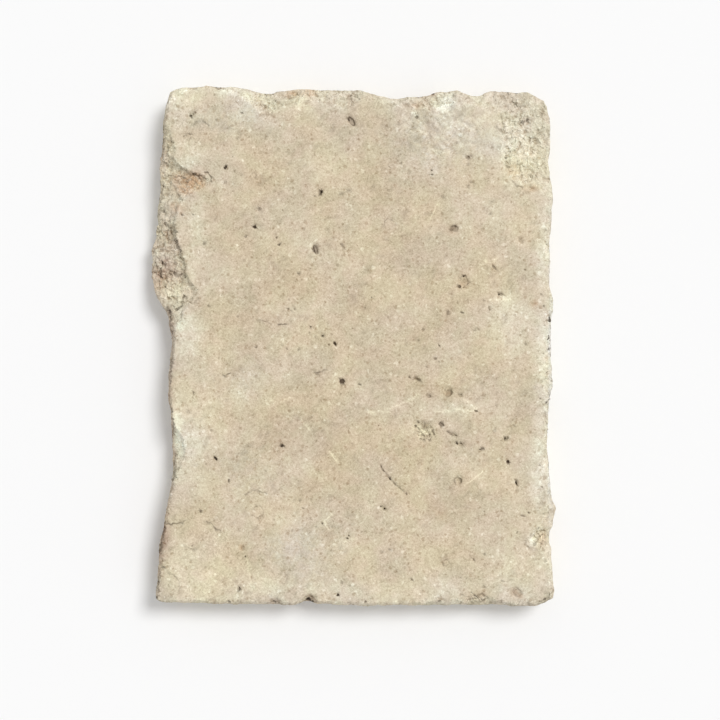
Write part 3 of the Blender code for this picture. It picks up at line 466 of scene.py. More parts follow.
def creases(points: np.ndarray, length: float, seed: int) -> np.ndarray:
    """Thin curving creases that come and go, as between the flakes of broken stone.

    Args:
        points: places in millimetres, one to a row.
        length: about how far apart they lie, in millimetres.
        seed: which creases they are.

    Returns:
        1 in a crease and 0 away from it.
    """
    line = smooth_step(np.abs(wavy(points, length, seed)), 0.13, 0.0)
    return line * smooth_step(wavy(points, 1.6 * length, seed + 31), -0.15, 0.35)


def streaked(points: np.ndarray) -> np.ndarray:
    """Places pressed together along the picture's falling diagonal, to draw noise out along it."""
    along, across = (points[:, 0] - points[:, 1]) / 1.41, (points[:, 0] + points[:, 1]) / 1.41
    return np.column_stack([along / 2.6, across, points[:, 2]])


def line_distance(plan: np.ndarray, line: np.ndarray) -> np.ndarray:
    """How far each place lies from a line of straight pieces.

    Args:
        plan: places in millimetres, one to a row.
        line: the line's points in millimetres.

    Returns:
        The distances in millimetres.
    """
    least = np.full(len(plan), np.inf)
    for start, end in zip(line[:-1], line[1:]):
        run = end - start
        share = np.clip(((plan - start) @ run) / max(run @ run, 1e-12), 0.0, 1.0)
        gap = np.linalg.norm(plan - start - share[:, None] * run, axis=1)
        least = np.minimum(least, gap)
    return least


@dataclass(frozen=True)
class Hollow:
    """A pit in the honed face.

    Attributes:
        x: its middle, in millimetres.
        y: the same.
        long: its length.
        wide: its width.
        turn: the way its length lies, in radians.
        depth: its depth.
        look: how dark it is, or None for one that is dark all over.
    """

    x: float
    y: float
    long: float
    wide: float
    turn: float
    depth: float
    look: PitLook | None = None

    def darkness(self, plan: np.ndarray, reach: np.ndarray) -> np.ndarray:
        """How dark each place is in the pit: partly dirt and partly painted shade, darker in deeper and
        narrower pits.

        Args:
            plan: places in millimetres, one to a row.
            reach: how far out each lies, as a share of the way to the rim.

        Returns:
            Numbers from 0 to 1.
        """
        inside = smooth_step(reach, 1.05, 0.75)
        if self.look is None:
            return inside * min(1.0, 1.3 * self.depth / self.wide)
        wall = inside * smooth_step(reach, 0.45, 0.8)
        if self.look.dark_side_deg is not None:
            side = math.radians(self.look.dark_side_deg)
            away = (plan - np.array([self.x, self.y])) / (0.5 * self.wide)
            facing = away @ np.array([math.cos(side), math.sin(side)])
            wall = inside * smooth_step(facing, -0.15, 0.5)
        return np.maximum(inside * self.look.floor, wall * self.look.wall)

    def reach(self, plan: np.ndarray) -> np.ndarray:
        """How far out each place lies, as a share of the way to the pit's rim.

        Args:
            plan: places in millimetres, one to a row.

        Returns:
            0 in the middle, 1 at the rim and more outside it.
        """
        away = plan - np.array([self.x, self.y])
        along = away @ np.array([math.cos(self.turn), math.sin(self.turn)])
        across = away @ np.array([-math.sin(self.turn), math.cos(self.turn)])
        return np.hypot(along / (0.5 * self.long), across / (0.5 * self.wide))


class SlabFrame:
    """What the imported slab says: its surface, its honed face's end, and its pits."""

    def __init__(self, node: bpy.types.Object) -> None:
        """Reads the slab.

        Args:
            node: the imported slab.
        """
        bm = bmesh.new()
        bm.from_mesh(node.data)
        bmesh.ops.remove_doubles(bm, verts=bm.verts, dist=0.001 * MM)
        self.tree = BVHTree.FromBMesh(bm)
        self.points = np.array([v.co for v in bm.verts]) / MM
        self.top = self.points[:, 2].max()
        loops = sorted(self._rims(bm), key=len)
        bm.free()
        self.arris = np.array([*loops[-1], loops[-1][0]])
        self.hollows = [self._hollow(np.array(loop)) for loop in loops[:-1]]

    def _rims(self, bm: bmesh.types.BMesh) -> list[list[np.ndarray]]:
        """Finds the closed lines round the honed face and its pits.

        Args:
            bm: the slab's mesh.

        Returns:
            Each line's points, in millimetres.
        """
        level = (self.top - 0.01) * MM
        honed = {f for f in bm.faces if min(v.co.z for v in f.verts) > level}
        rims = dict.fromkeys(e for e in bm.edges if sum(f in honed for f in e.link_faces) == 1)
        loops = []
        while rims:
            edge = next(iter(rims))
            del rims[edge]
            vert, loop = edge.verts[1], [edge.verts[0]]
            while vert is not loop[0]:
                loop.append(vert)
                edge = next(e for e in vert.link_edges if e in rims)
                del rims[edge]
                vert = edge.other_vert(vert)
            loops.append([np.array(v.co.xy) / MM for v in loop])
        return loops

    def _hollow(self, rim: np.ndarray) -> Hollow:
        """Measures one pit.

        Args:
            rim: the points of its rim, in millimetres.

        Returns:
            The pit, as an ellipse of its rim's size.
        """
        middle = rim.mean(axis=0)
        axes = np.linalg.svd(rim - middle)[2]
        long, wide = (2.0 * np.abs((rim - middle) @ axis).max() for axis in axes)
        floor = self.height(*middle)
        turn = math.atan2(axes[0][1], axes[0][0])
        looks = sorted(PIT_LOOKS, key=lambda k: np.linalg.norm(from_picture(k.px, k.py) - Vector(middle)))
        near = np.linalg.norm(from_picture(looks[0].px, looks[0].py) - Vector(middle)) < 3.0
        return Hollow(*middle, long, wide, turn, self.top - floor, looks[0] if near else None)

    def height(self, x: float, y: float) -> float:
        """The slab's upper surface over one place.

        Args:
            x: millimetres from the slab's middle.
            y: millimetres from the slab's middle.

        Returns:
            The height in millimetres, or that of the honed face off the slab.
        """
        above = Vector((x, y, self.top + 10.0)) * MM
        hit = self.tree.ray_cast(above, Vector((0, 0, -1)))[0]
        return hit.z / MM if hit else self.top

    def side(self, x: float, y: float, z: float, inward: Vector) -> np.ndarray | None:
        """Where a level ray from outside meets the slab.

        Args:
            x: a place outside the slab, in millimetres.
            y: the same.
            z: the ray's height.
            inward: the ray's direction.

        Returns:
            The plan place that it meets, or None where it misses.
        """
        hit = self.tree.ray_cast(Vector((x, y, z)) * MM, inward)[0]
        return np.array(hit.xy) / MM if hit else None

    def outermost(self, along: float, axis: int, way: int) -> float | None:
        """How far out the slab reaches on one side, at one place along it.

        Args:
            along: the place along the side, in millimetres.
            axis: 0 for the left and right sides, 1 for the near and far sides.
            way: 1 for the side with the higher coordinate, -1 for the other.

        Returns:
            The coordinate of the broken edge, or None past the slab's end.
        """
        start, inward = [along, along], Vector((0, 0, 0))
        start[axis] = way * 400.0
        inward[axis] = -way
        met = [self.side(*start, z, inward) for z in np.arange(1.0, self.top, 2.0)]
        reached = [way * hit[axis] for hit in met if hit is not None]
        return way * max(reached) if reached else None

    def corner(self, way_x: int, way_y: int) -> np.ndarray:
        """The slab's furthest point towards one corner."""
        plan = self.points[:, :2]
        return plan[np.argmax(plan @ np.array([way_x, way_y]))]

    def inside(self, plan: np.ndarray) -> np.ndarray:
        """How far each place lies inside the honed face, less than 0 on the broken bands.

        Args:
            plan: places in millimetres, one to a row.

        Returns:
            The distances in millimetres.
        """
        crossings = np.zeros(len(plan), int)
        x, y = plan.T
        for (ax, ay), (bx, by) in zip(self.arris[:-1], self.arris[1:]):
            if ay == by:
                continue
            between = (ay > y) != (by > y)
            crossings += between & (x < ax + (y - ay) / (by - ay) * (bx - ax))
        return np.where(crossings % 2 == 1, 1.0, -1.0) * line_distance(plan, self.arris)


@dataclass
class StoneSkin:
    """The stone's surface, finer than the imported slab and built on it.

    Attributes:
        slab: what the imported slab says.
        cell: width of a face in the middle of the honed face.
        side_rows: rows of faces down each side.
        back_cell: width of a face in the sawn back.
        pores: the small hollows.
        traces: the cracks, shells and veins.
        patches: the weathered places.
    """

    slab: SlabFrame
    cell: float = 2.35
    side_rows: int = 13
    back_cell: float = 16.0
    pores: list[Pore] = field(default_factory=lambda: PORES)
    traces: list[Trace] = field(default_factory=lambda: TRACES)
    patches: list[Patch] = field(default_factory=lambda: PATCHES)
    shades: dict[str, np.ndarray] = field(default_factory=dict)

    def build(self) -> bpy.types.Object:
        """Makes the skin as one closed mesh.

        Returns:
            The object, at the origin.
        """
        noise.seed_set(NOISE_SEED)
        bm = bmesh.new()
        self._lay_grid(bm)
        self._refine(bm)
        self._press(bm)
        self._drop_sides(bm)
        bmesh.ops.recalc_face_normals(bm, faces=bm.faces)
        mesh = bpy.data.meshes.new("limestone_slab")
        bm.to_mesh(mesh)
        bm.free()
        mesh.shade_smooth()
        piece = bpy.data.objects.new("limestone_slab", mesh)
        bpy.context.scene.collection.objects.link(piece)
        for name, values in self.shades.items():
            self._note(piece, name, values)
        return piece

    def _side_line(self, start: np.ndarray, end: np.ndarray, shares: np.ndarray, axis: int,
                   way: int) -> np.ndarray:
        """One side's broken edge, from corner to corner.

        Args:
            start: the first corner.
            end: the last corner.
            shares: where the grid's lines cross the side.
            axis: the coordinate that the side varies in.
            way: 1 where that coordinate is the higher one of the two sides, or else -1.

        Returns:
            A place for each share.
        """
        line = start + shares[:, None] * (end - start)
        for place in line[1:-1]:
            reached = self.slab.outermost(place[1 - axis], axis, way)
            place[axis] = place[axis] if reached is None else reached
        return line

    def _lay_grid(self, bm: bmesh.types.BMesh) -> None:
        """Lays a level grid over the slab, stretched to its broken edge.

        Args:
            bm: the mesh to add it to.
        """
        size = np.ptp(self.slab.points, axis=0)
        u, v = (np.linspace(0.0, 1.0, round(length / self.cell) + 1) for length in size[:2])
        near_left, near_right = self.slab.corner(-1, -1), self.slab.corner(1, -1)
        far_left, far_right = self.slab.corner(-1, 1), self.slab.corner(1, 1)
        left = self._side_line(near_left, far_left, v, 0, -1)
        right = self._side_line(near_right, far_right, v, 0, 1)
        near = self._side_line(near_left, near_right, u, 1, -1)
        far = self._side_line(far_left, far_right, u, 1, 1)
        columns, rows = len(u) - 1, len(v) - 1
        grid = bmesh.ops.create_grid(bm, x_segments=columns, y_segments=rows, size=0.5)
        for vert in grid["verts"]:
            i, j = round((vert.co.x + 0.5) * columns), round((vert.co.y + 0.5) * rows)
            a, b = u[i], v[j]
            ruled = (1 - a) * left[j] + a * right[j] + (1 - b) * near[i] + b * far[i]
            ruled -= (1 - a) * (1 - b) * near_left + a * (1 - b) * near_right
            ruled -= (1 - a) * b * far_left + a * b * far_right
            vert.co = (*ruled, self.slab.top)

    def _hollows(self) -> list[Hollow]:
        """All pits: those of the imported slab, and the small ones."""
        small = []
        for pore in self.pores:
            middle = from_picture(pore.px, pore.py)
            turn = math.radians(pore.turn_deg)
            small.append(Hollow(*middle, pore.long, pore.wide, turn, pore.depth))
        return self.slab.hollows + small

    def _lines(self) -> list[tuple[Trace, np.ndarray]]:
        """Each trace with its points on the slab."""
        return [(t, np.array([from_picture(*p) for p in t.points_px])) for t in self.traces]

    def _refine(self, bm: bmesh.types.BMesh) -> None:
        """Divides the faces where the stone is broken, and round the pits and cracks.

        Args:
            bm: the mesh with the level grid.
        """
        hollows = self._hollows()
        lines = self._lines()
        for margin, arris in ((1.3, 3.0), (0.7, 0.9), (0.25, -9.0)):
            plan = np.array([v.co.xy for v in bm.verts])
            inside = self.slab.inside(plan)
            close = (inside < 2.0) if arris > 1.0 else (np.abs(inside) < arris)
            if 0.0 < arris < 1.0:
                close |= (inside < 0.0) & (self._taken(plan, Tint.ROUGH) > 0.5)
            if margin > 0.3:
                close |= self._taken(plan, Tint.CRUMBLED) > (0.2 if arris > 1.0 else 0.55)
            for hollow in hollows:
                close |= hollow.reach(plan) < 1.0 + margin / (0.5 * hollow.wide)
            for trace, line in lines:
                if trace.depth or margin > 0.3:
                    close |= line_distance(plan, line) < margin + trace.width
            chosen = {v for v, near in zip(bm.verts, close) if near}
            edges = [e for e in bm.edges if chosen.issuperset(e.verts)]
            bmesh.ops.subdivide_edges(bm, edges=edges, cuts=1, use_grid_fill=True)

    def _break_relief(self, points: np.ndarray) -> tuple[np.ndarray, np.ndarray]:
        """The relief of broken stone: facets, knobs and crevices.

        Args:
            points: places in millimetres, one to a row.

        Returns:
            The height over the broken surface, and how deep in a crevice each place lies.
        """
        plan = points[:, :2]
        grime_and_shade, drawn = self._taken(plan, Tint.GRIME_AND_SHADE), streaked(points)
        busy = 0.7 + 0.3 * smooth_step(wavy(points, 15.0, 6), -0.6, 0.6) + 0.9 * grime_and_shade
        rough = (0.5 - 0.15 * grime_and_shade) * facets(points, 6.5, 1)
        rough = busy * (rough + (0.45 + 0.15 * grime_and_shade) * facets(drawn, 2.7, 2))
        knobs = 0.55 * wavy(points, 3.0, 3) + 0.4 * wavy(points, 1.6, 4)
        rough += knobs * (0.4 + 0.65 * self._taken(plan, Tint.ROUGH) - 0.35 * grime_and_shade)
        crease = np.maximum(creases(drawn, 3.4, 5), 0.8 * creases(points, 5.0, 8))
        crevice = crease * (0.4 + 0.5 * grime_and_shade) + np.clip(-(0.6 + 0.3 * grime_and_shade) * rough - 0.05, 0.0, 1.0)
        crevice *= 1.0 - 0.65 * self._taken(plan, Tint.RUST)
        return rough - 0.5 * crease * busy, np.clip(crevice, 0.0, 1.0)

    def _taken(self, plan: np.ndarray, tint: Tint, warp: np.ndarray | float = 0.0) -> np.ndarray:
        """How strongly each place has taken a tint.

        Args:
            plan: places in millimetres, one to a row.
            tint: which tint.
            warp: how far the rims of the large patches are bent at each place, in millimetres.

        Returns:
            Numbers from 0 to 1.
        """
        taken = np.zeros(len(plan))
        for patch in (p for p in self.patches if p.tint is tint):
            reach = np.array([patch.reach_x, patch.reach_y]) * FACE_SCALE
            bent = plan + warp * min(1.0, reach.min() / 14.0)
            away = bent - np.array(from_picture(patch.px, patch.py))
            spread = np.exp(-((away / reach) ** 2).sum(axis=1) ** 1.3)
            taken = np.maximum(taken, patch.strength * spread)
        return taken

    def _press(self, bm: bmesh.types.BMesh) -> None:
        """Gives the upper surface its heights, and notes what it is at each point.

        Args:
            bm: the mesh with the level grid.
        """
        top = self.slab.top
        plan = np.array([v.co.xy for v in bm.verts])
        points = np.column_stack([plan, np.full(len(plan), top)])
        inside = self.slab.inside(plan)
        ragged = inside + 1.1 * wavy(points, 4.6, 11) + 0.6 * wavy(points, 1.9, 12)
        broken = smooth_step(ragged, 0.35, -0.35)
        worn = smooth_step(ragged, 1.3, -0.6)
        sore = self._taken(plan, Tint.CRUMBLED)
        crumbled = sore + 0.22 * wavy(points, 3.0, 24)
        broken = np.maximum(broken, 0.9 * smooth_step(crumbled, 0.35, 0.75))
        worn = np.maximum(worn, smooth_step(crumbled, 0.25, 0.75))
        heights = top - 0.12 + 0.1 * wavy(points, 32.0, 13) + 0.05 * wavy(points, 7.0, 14)
        dimples = smooth_step(wavy(points, 3.6, 16), 0.55, 1.1)
        dimples *= smooth_step(wavy(points, 26.0, 17), -0.3, 0.5)
        heights -= 0.35 * dimples
        ripple = wavy(streaked(points), 2.0, 25)
        sore = smooth_step(sore, 0.08, 0.35)
        heights += 0.15 * sore * ripple
        # In the crumbled places the ripple's troughs are painted darker, and further on its crests paler:
        # painted shade and highlight that follow its small relief.
        hollow = np.maximum(0.2 * dimples, 0.22 * sore * smooth_step(ripple, -0.1, -0.8))
        near_break = np.flatnonzero((worn > 0) | (inside < 0))
        packed = np.array([self.slab.height(*plan[i]) for i in near_break])
        relief, crevice = self._break_relief(np.column_stack([plan[near_break], packed]))
        depth = np.clip(-inside[near_break], 0.0, 99.0)
        ledge = smooth_step(depth, 2.0, 0.4) * smooth_step(wavy(points[near_break], 8.0, 20), 0.6, 1.0)
        torn = np.minimum(packed, top - 0.25) + relief * (0.45 + 0.55 * smooth_step(depth, 0.0, 4.0))
        torn -= 0.8 * ledge
        drop = np.minimum(torn, top - 0.15) - heights[near_break]
        heights[near_break] += worn[near_break] * drop
        share = broken[near_break]
        hollow[near_break] *= 1 - share
        sunk, pale = np.zeros(len(plan)), np.zeros(len(plan))
        # The ledge's groove under the arris is also painted dark: painted shade in that groove.
        sunk[near_break] = share * np.maximum(crevice, 0.5 * ledge)
        # The tops of the broken relief are painted paler: partly pale chips and partly painted highlight.
        pale[near_break] = 0.55 * share * smooth_step(relief, 0.45, 1.3)
        pale = np.maximum(pale, 0.4 * sore * smooth_step(ripple, 0.1, 0.8))
        warp = np.column_stack([wavy(points, 2.4, 18), wavy(points, 2.4, 22)])
        for pit in self._hollows():
            bent = plan + warp * min(0.1 * pit.wide, 0.25 if pit.look is None else 0.12)
            reach = pit.reach(bent)
            heights -= pit.depth * smooth_step(reach, 1.3, 0.45) * np.where(broken > 0.5, 0.6, 1.0)
            hollow = np.maximum(hollow, pit.darkness(bent, reach))
        patchy = smooth_step(wavy(points, 3.4, 23), -0.55, 0.5)
        for trace, line in self._lines():
            gap = line_distance(plan + 0.45 * warp, line)
            near = smooth_step(gap, trace.width, 0.1) * (0.5 + 0.5 * patchy)
            heights -= trace.depth * near
            if trace.kind is Mark.VEIN:
                pale = np.maximum(pale, near)
            else:
                hollow = np.maximum(hollow, near * (0.72 if trace.kind is Mark.CRACK else 0.45))
        solid = np.column_stack([plan, heights])
        free = np.array([not v.is_boundary for v in bm.verts])
        jut = np.column_stack([wavy(solid, 2.4, seed) + 0.5 * wavy(solid, 1.2, seed) for seed in (26, 27)])
        solid[:, :2] += 0.7 * (worn * free)[:, None] * jut
        for vert, place in zip(bm.verts, solid):
            vert.co = place
        # The vein shade holds the veins, and the painted highlight on broken relief tops and ripple
        # crests.
        self.shades = {"broken": broken, "crevice": sunk, "hollow": hollow, "vein": pale}
        self.shades["margin"] = np.exp(-np.clip(inside + 3.0 * wavy(points, 11.0, 19), 0, 99) / 11.0)

    def _drop_sides(self, bm: bmesh.types.BMesh) -> None:
        """Draws the broken edge down to the sawn back, row by row, and closes the back.

        Args:
            bm: the mesh with the upper surface, in millimetres. It leaves in metres.
        """
        station = bm.verts.layers.int.new("station")
        edges = [e for e in bm.edges if e.is_boundary]
        ring = self._ordered(edges)
        plan = np.array([v.co.xy for v in ring])
        along = np.roll(plan, -2, axis=0) - np.roll(plan, 2, axis=0)
        outward = np.column_stack([along[:, 1], -along[:, 0]])
        outward /= np.linalg.norm(outward, axis=1)[:, None]
        rim = np.array([self.slab.height(*(p - 0.6 * n)) for p, n in zip(plan, outward)])
        rim = np.median([np.roll(rim, k) for k in range(-4, 5)], axis=0)
        level = np.column_stack([plan, rim])
        plan -= outward * (0.3 * smooth_step(wavy(level, 2.6, 24), -0.6, 0.6))[:, None]
        for vert, place, height, shift in zip(ring, plan, rim, 0.3 * wavy(level, 2.6, 21)):
            vert.co = (*place, min(height - 0.3 + shift, self.slab.top - 0.3))
        for k, vert in enumerate(ring):
            vert[station] = k
        heights = np.array([v.co.z for v in ring])
        made = []
        for row in range(1, self.side_rows + 1):
            share = 1.0 - (row / self.side_rows) ** 1.25
            z = heights * share
            placed, crevice = self._side_row(plan, outward, z)
            new = bmesh.ops.extrude_edge_only(bm, edges=edges)["geom"]
            verts = [g for g in new if isinstance(g, bmesh.types.BMVert)]
            for vert in verts:
                k = vert[station]
                vert.co = (*placed[k], z[k])
            made += [crevice[vert[station]] for vert in verts]
            below = set(verts)
            edges = [g for g in new if isinstance(g, bmesh.types.BMEdge) and below.issuperset(g.verts)]
        new = bmesh.ops.extrude_edge_only(bm, edges=edges)["geom"]
        for vert in (g for g in new if isinstance(g, bmesh.types.BMVert)):
            vert.co.xy = placed[vert[station]] - 0.4 * outward[vert[station]]
        self._close_back(bm, [g for g in new if isinstance(g, bmesh.types.BMEdge) and g.is_boundary])
        bmesh.ops.scale(bm, vec=Vector((MM, MM, MM)), verts=bm.verts)
        back = len(bm.verts) - len(self.shades["broken"]) - len(made)
        for name, side, sawn in (("broken", 1.0, 0.1), ("vein", 0.0, 0.0), ("margin", 1.0, 0.4),
                                 ("hollow", 0.0, 0.0), ("crevice", np.array(made), 0.0)):
            added = np.concatenate([np.ones(len(made)) * side, np.full(back, sawn)])
            self.shades[name] = np.concatenate([self.shades[name], added])

    def _close_back(self, bm: bmesh.types.BMesh, edges: list[bmesh.types.BMEdge]) -> None:
        """Closes the sawn back, and divides it into a level grid.

        Args:
            bm: the mesh, open at the back.
            edges: the ring of edges round the opening.
        """
        face = bmesh.ops.contextual_create(bm, geom=edges)["faces"][0]
        parts = [face, *face.edges, *face.verts]
        reach = np.abs(self.slab.points[:, :2]).max(axis=0)
        for axis in (0, 1):
            way = Vector((1 - axis, axis, 0))
            for at in np.arange(-reach[axis], reach[axis], self.back_cell):
                cut = bmesh.ops.bisect_plane(bm, geom=parts, dist=1e-4, plane_co=way * at, plane_no=way)
                parts = cut["geom"]

    def _side_row(self, plan: np.ndarray, outward: np.ndarray,
                  z: np.ndarray) -> tuple[np.ndarray, np.ndarray]:
        """One row of the side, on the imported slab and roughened.

        Args:
            plan: the broken edge's places.
            outward: its outward directions.
            z: the row's heights.

        Returns:
            The row's places, and how deep in a crevice each lies.
        """
        placed = np.array(plan)
        for k, (place, way) in enumerate(zip(plan, outward)):
            start = place + 15.0 * way
            hit = self.slab.side(*start, max(z[k], 0.05), Vector((*-way, 0)))
            if hit is not None and np.linalg.norm(hit - place) < 9.0:
                placed[k] = hit
        points = np.column_stack([placed, z * 1.6])
        relief, crevice = self._break_relief(points)
        foot = smooth_step(z, 0.0, 3.0)
        shift = np.clip(relief * (0.35 + 0.65 * foot) - 0.5 - 0.9 * (1 - foot), -3.0, 0.3)
        return placed + outward * shift[:, None], crevice

    def _ordered(self, edges: list[bmesh.types.BMEdge]) -> list[bmesh.types.BMVert]:
        """The corners of a closed ring of edges, counter-clockwise.

        Args:
            edges: the ring's edges in any order.

        Returns:
            Its corners in order.
        """
        edge, left = edges[0], set(edges[1:])
        ring, vert = [edge.verts[0]], edge.verts[1]
        while vert is not ring[0]:
            ring.append(vert)
            edge = next(e for e in vert.link_edges if e in left)
            left.discard(edge)
            vert = edge.other_vert(vert)
        plan = np.array([v.co.xy for v in ring])
        ahead = np.roll(plan, -1, axis=0)
        area = (plan[:, 0] * ahead[:, 1] - ahead[:, 0] * plan[:, 1]).sum()
        return ring if area > 0 else ring[::-1]

    def weather(self, piece: bpy.types.Object) -> None:
        """Notes on each point how strongly each tint has taken.

        Args:
            piece: the finished skin.
        """
        points = np.array([v.co for v in piece.data.vertices]) / MM
        level = points * np.array([1.0, 1.0, 0.0])
        warp = np.column_stack([wavy(level, 17.0, 31), wavy(level, 17.0, 32)]) * 4.5
        warp += np.column_stack([wavy(level, 5.0, 33), wavy(level, 5.0, 34)]) * 1.8
        plan = points[:, :2]
        swell = 0.045 * wavy(points, 9.0, 35) + 0.04 * wavy(points, 21.0, 36)
        self._note(piece, "swell", swell + 0.04 * wavy(points, 48.0, 37))
        green = wavy(points, 12.0, 38) + 0.6 * wavy(points, 6.0, 39)
        self._note(piece, "green", smooth_step(green, -0.9, 0.9))
        self._note(piece, "yellow", smooth_step(wavy(points, 30.0, 40), -0.8, 0.8))
        above = smooth_step(points[:, 2], 0.0, 6.0)
        for tint, _ in Limestone.tints:
            self._note(piece, tint.value, above * self._taken(plan, tint, warp))

    def _note(self, piece: bpy.types.Object, name: str, values: np.ndarray) -> None:
        """Notes a number on each point of a piece, for its finish."""
        layer = piece.data.attributes.new(name, "FLOAT", "POINT")
        layer.data.foreach_set("value", values.astype(np.float32))


def linear(red: float, green: float, blue: float) -> np.ndarray:
    """Turns a colour as a screen shows it, from 0 to 255, into the linear one of a shader."""
    share = np.array([red, green, blue]) / 255.0
    return np.where(share <= 0.04045, share / 12.92, ((share + 0.055) / 1.055) ** 2.4)


class Graph:
    """A material's nodes, made and joined in a few words."""

    def __init__(self, name: str) -> None:
        """Starts a material.

        Args:
            name: the material's name.
        """
        self.material = bpy.data.materials.new(name)
        self.material.use_nodes = True
        self.tree = self.material.node_tree
        self.shader = self.tree.nodes["Principled BSDF"]
        self.place = self.tree.nodes.new("ShaderNodeTexCoord").outputs["Object"]

    def add(self, kind: str, settings: dict[str, object] | None = None,
            **inputs: object) -> bpy.types.Node:
        """Adds a node.

        Args:
            kind: the node's type, without its first word.
            settings: its own properties.
            **inputs: values or sockets for its inputs, by name, with _ for a space.

        Returns:
            The node.
        """
        node = self.tree.nodes.new("ShaderNode" + kind)
        for name, value in (settings or {}).items():
            setattr(node, name, value)
        for name, value in inputs.items():
            self.join(value, node.inputs[name.replace("_", " ")])
        return node

    def join(self, value: object, socket: bpy.types.NodeSocket) -> None:
        """Sets an input to a value, or links it to an output."""
        if isinstance(value, bpy.types.NodeSocket):
            self.tree.links.new(value, socket)
        else:
            socket.default_value = value

    def shifted(self, seed: float) -> bpy.types.NodeSocket:
        """The place, moved so that each seed gives another pattern."""
        node = self.add("VectorMath")
        self.join(self.place, node.inputs[0])
        node.inputs[1].default_value = (0.173 * seed, 0.091 * seed, 0.057 * seed)
        return node.outputs[0]

    def noise(self, size: float, seed: float, detail: float = 1.0, twist: float = 0.0,
              rough: float = 0.5) -> bpy.types.NodeSocket:
        """Noise whose swells lie a given size in millimetres apart."""
        node = self.add("TexNoise", Vector=self.shifted(seed), Scale=1.0 / (size * MM),
                        Detail=detail, Roughness=rough, Distortion=twist)
        return node.outputs[0]

    def bent(self, size: float, amount: float, seed: float) -> bpy.types.NodeSocket:
        """The place, bent by noise of a given size by up to half an amount in millimetres."""
        bend = self.add("TexNoise", Vector=self.shifted(seed), Scale=1.0 / (size * MM), Detail=0.0)
        node = self.add("VectorMath", {"operation": "MULTIPLY_ADD"})
        self.join(bend.outputs[1], node.inputs[0])
        node.inputs[1].default_value = (amount * MM,) * 3
        self.join(self.shifted(seed), node.inputs[2])
        return node.outputs[0]

    def cells(self, size: float, seed: float) -> tuple[bpy.types.NodeSocket, ...]:
        """A scatter of points a given size in millimetres apart.

        Args:
            size: the distance between them.
            seed: which scatter it is.

        Returns:
            The distance to the nearest point, and three numbers from 0 to 1 for that point.
        """
        node = self.add("TexVoronoi", Vector=self.bent(2.6, 2.2, seed), Scale=1.0 / (size * MM))
        own = self.add("SeparateColor", Color=node.outputs["Color"])
        return (node.outputs["Distance"], *own.outputs)

    def math(self, operation: str, *values: object) -> bpy.types.NodeSocket:
        """One step of arithmetic on one, two or three numbers."""
        node = self.add("Math", {"operation": operation})
        for value, socket in zip(values, node.inputs):
            self.join(value, socket)
        return node.outputs[0]

    def ranged(self, value: object, start: float, end: float, low: float = 0.0,
               high: float = 1.0) -> bpy.types.NodeSocket:
        """A number eased from low to high while the value goes from start to end."""
        node = self.add("MapRange", {"interpolation_type": "SMOOTHSTEP"}, Value=value,
                        From_Min=start, From_Max=end, To_Min=low, To_Max=high)
        return node.outputs[0]

    def attribute(self, name: str) -> bpy.types.NodeSocket:
        """A number noted on the mesh's points."""
        return self.add("Attribute", {"attribute_name": name}).outputs["Fac"]

    def blend(self, mode: str, share: object, first: object, second: object) -> bpy.types.NodeSocket:
        """Two colours blended."""
        node = self.add("Mix", {"data_type": "RGBA", "blend_type": mode})
        for index, value in ((0, share), (6, first), (7, second)):
            self.join(value, node.inputs[index])
        return node.outputs[2]

    def ramp(self, value: bpy.types.NodeSocket,
             stops: tuple[tuple[float, np.ndarray], ...]) -> bpy.types.NodeSocket:
        """A colour read from a number."""
        node = self.add("ValToRGB", Fac=value)
        elements = node.color_ramp.elements
        while len(elements) < len(stops):
            elements.new(0.5)
        for element, (position, colour) in zip(elements, stops):
            element.position = position
            element.color = (*colour, 1.0)
        return node.outputs[0]


@dataclass(frozen=True)
class Swell:
    """One size of the stone's mottling: its size in millimetres, its share, its detail, its twist."""

    size: float
    share: float
    detail: float = 1.0
    twist: float = 0.0


@dataclass(frozen=True)
class Spots:
    """A scatter of small round marks.

    Attributes:
        apart: the distance between the places where one may be, in millimetres.
        chosen: the share of those places that have one.
        radius: its radius as a share of that distance.
        strength: how strongly it takes its colour.
        colour: the colour that the middle stone takes.
    """

    apart: float
    chosen: float
    radius: float
    strength: float
    colour: tuple[int, int, int]


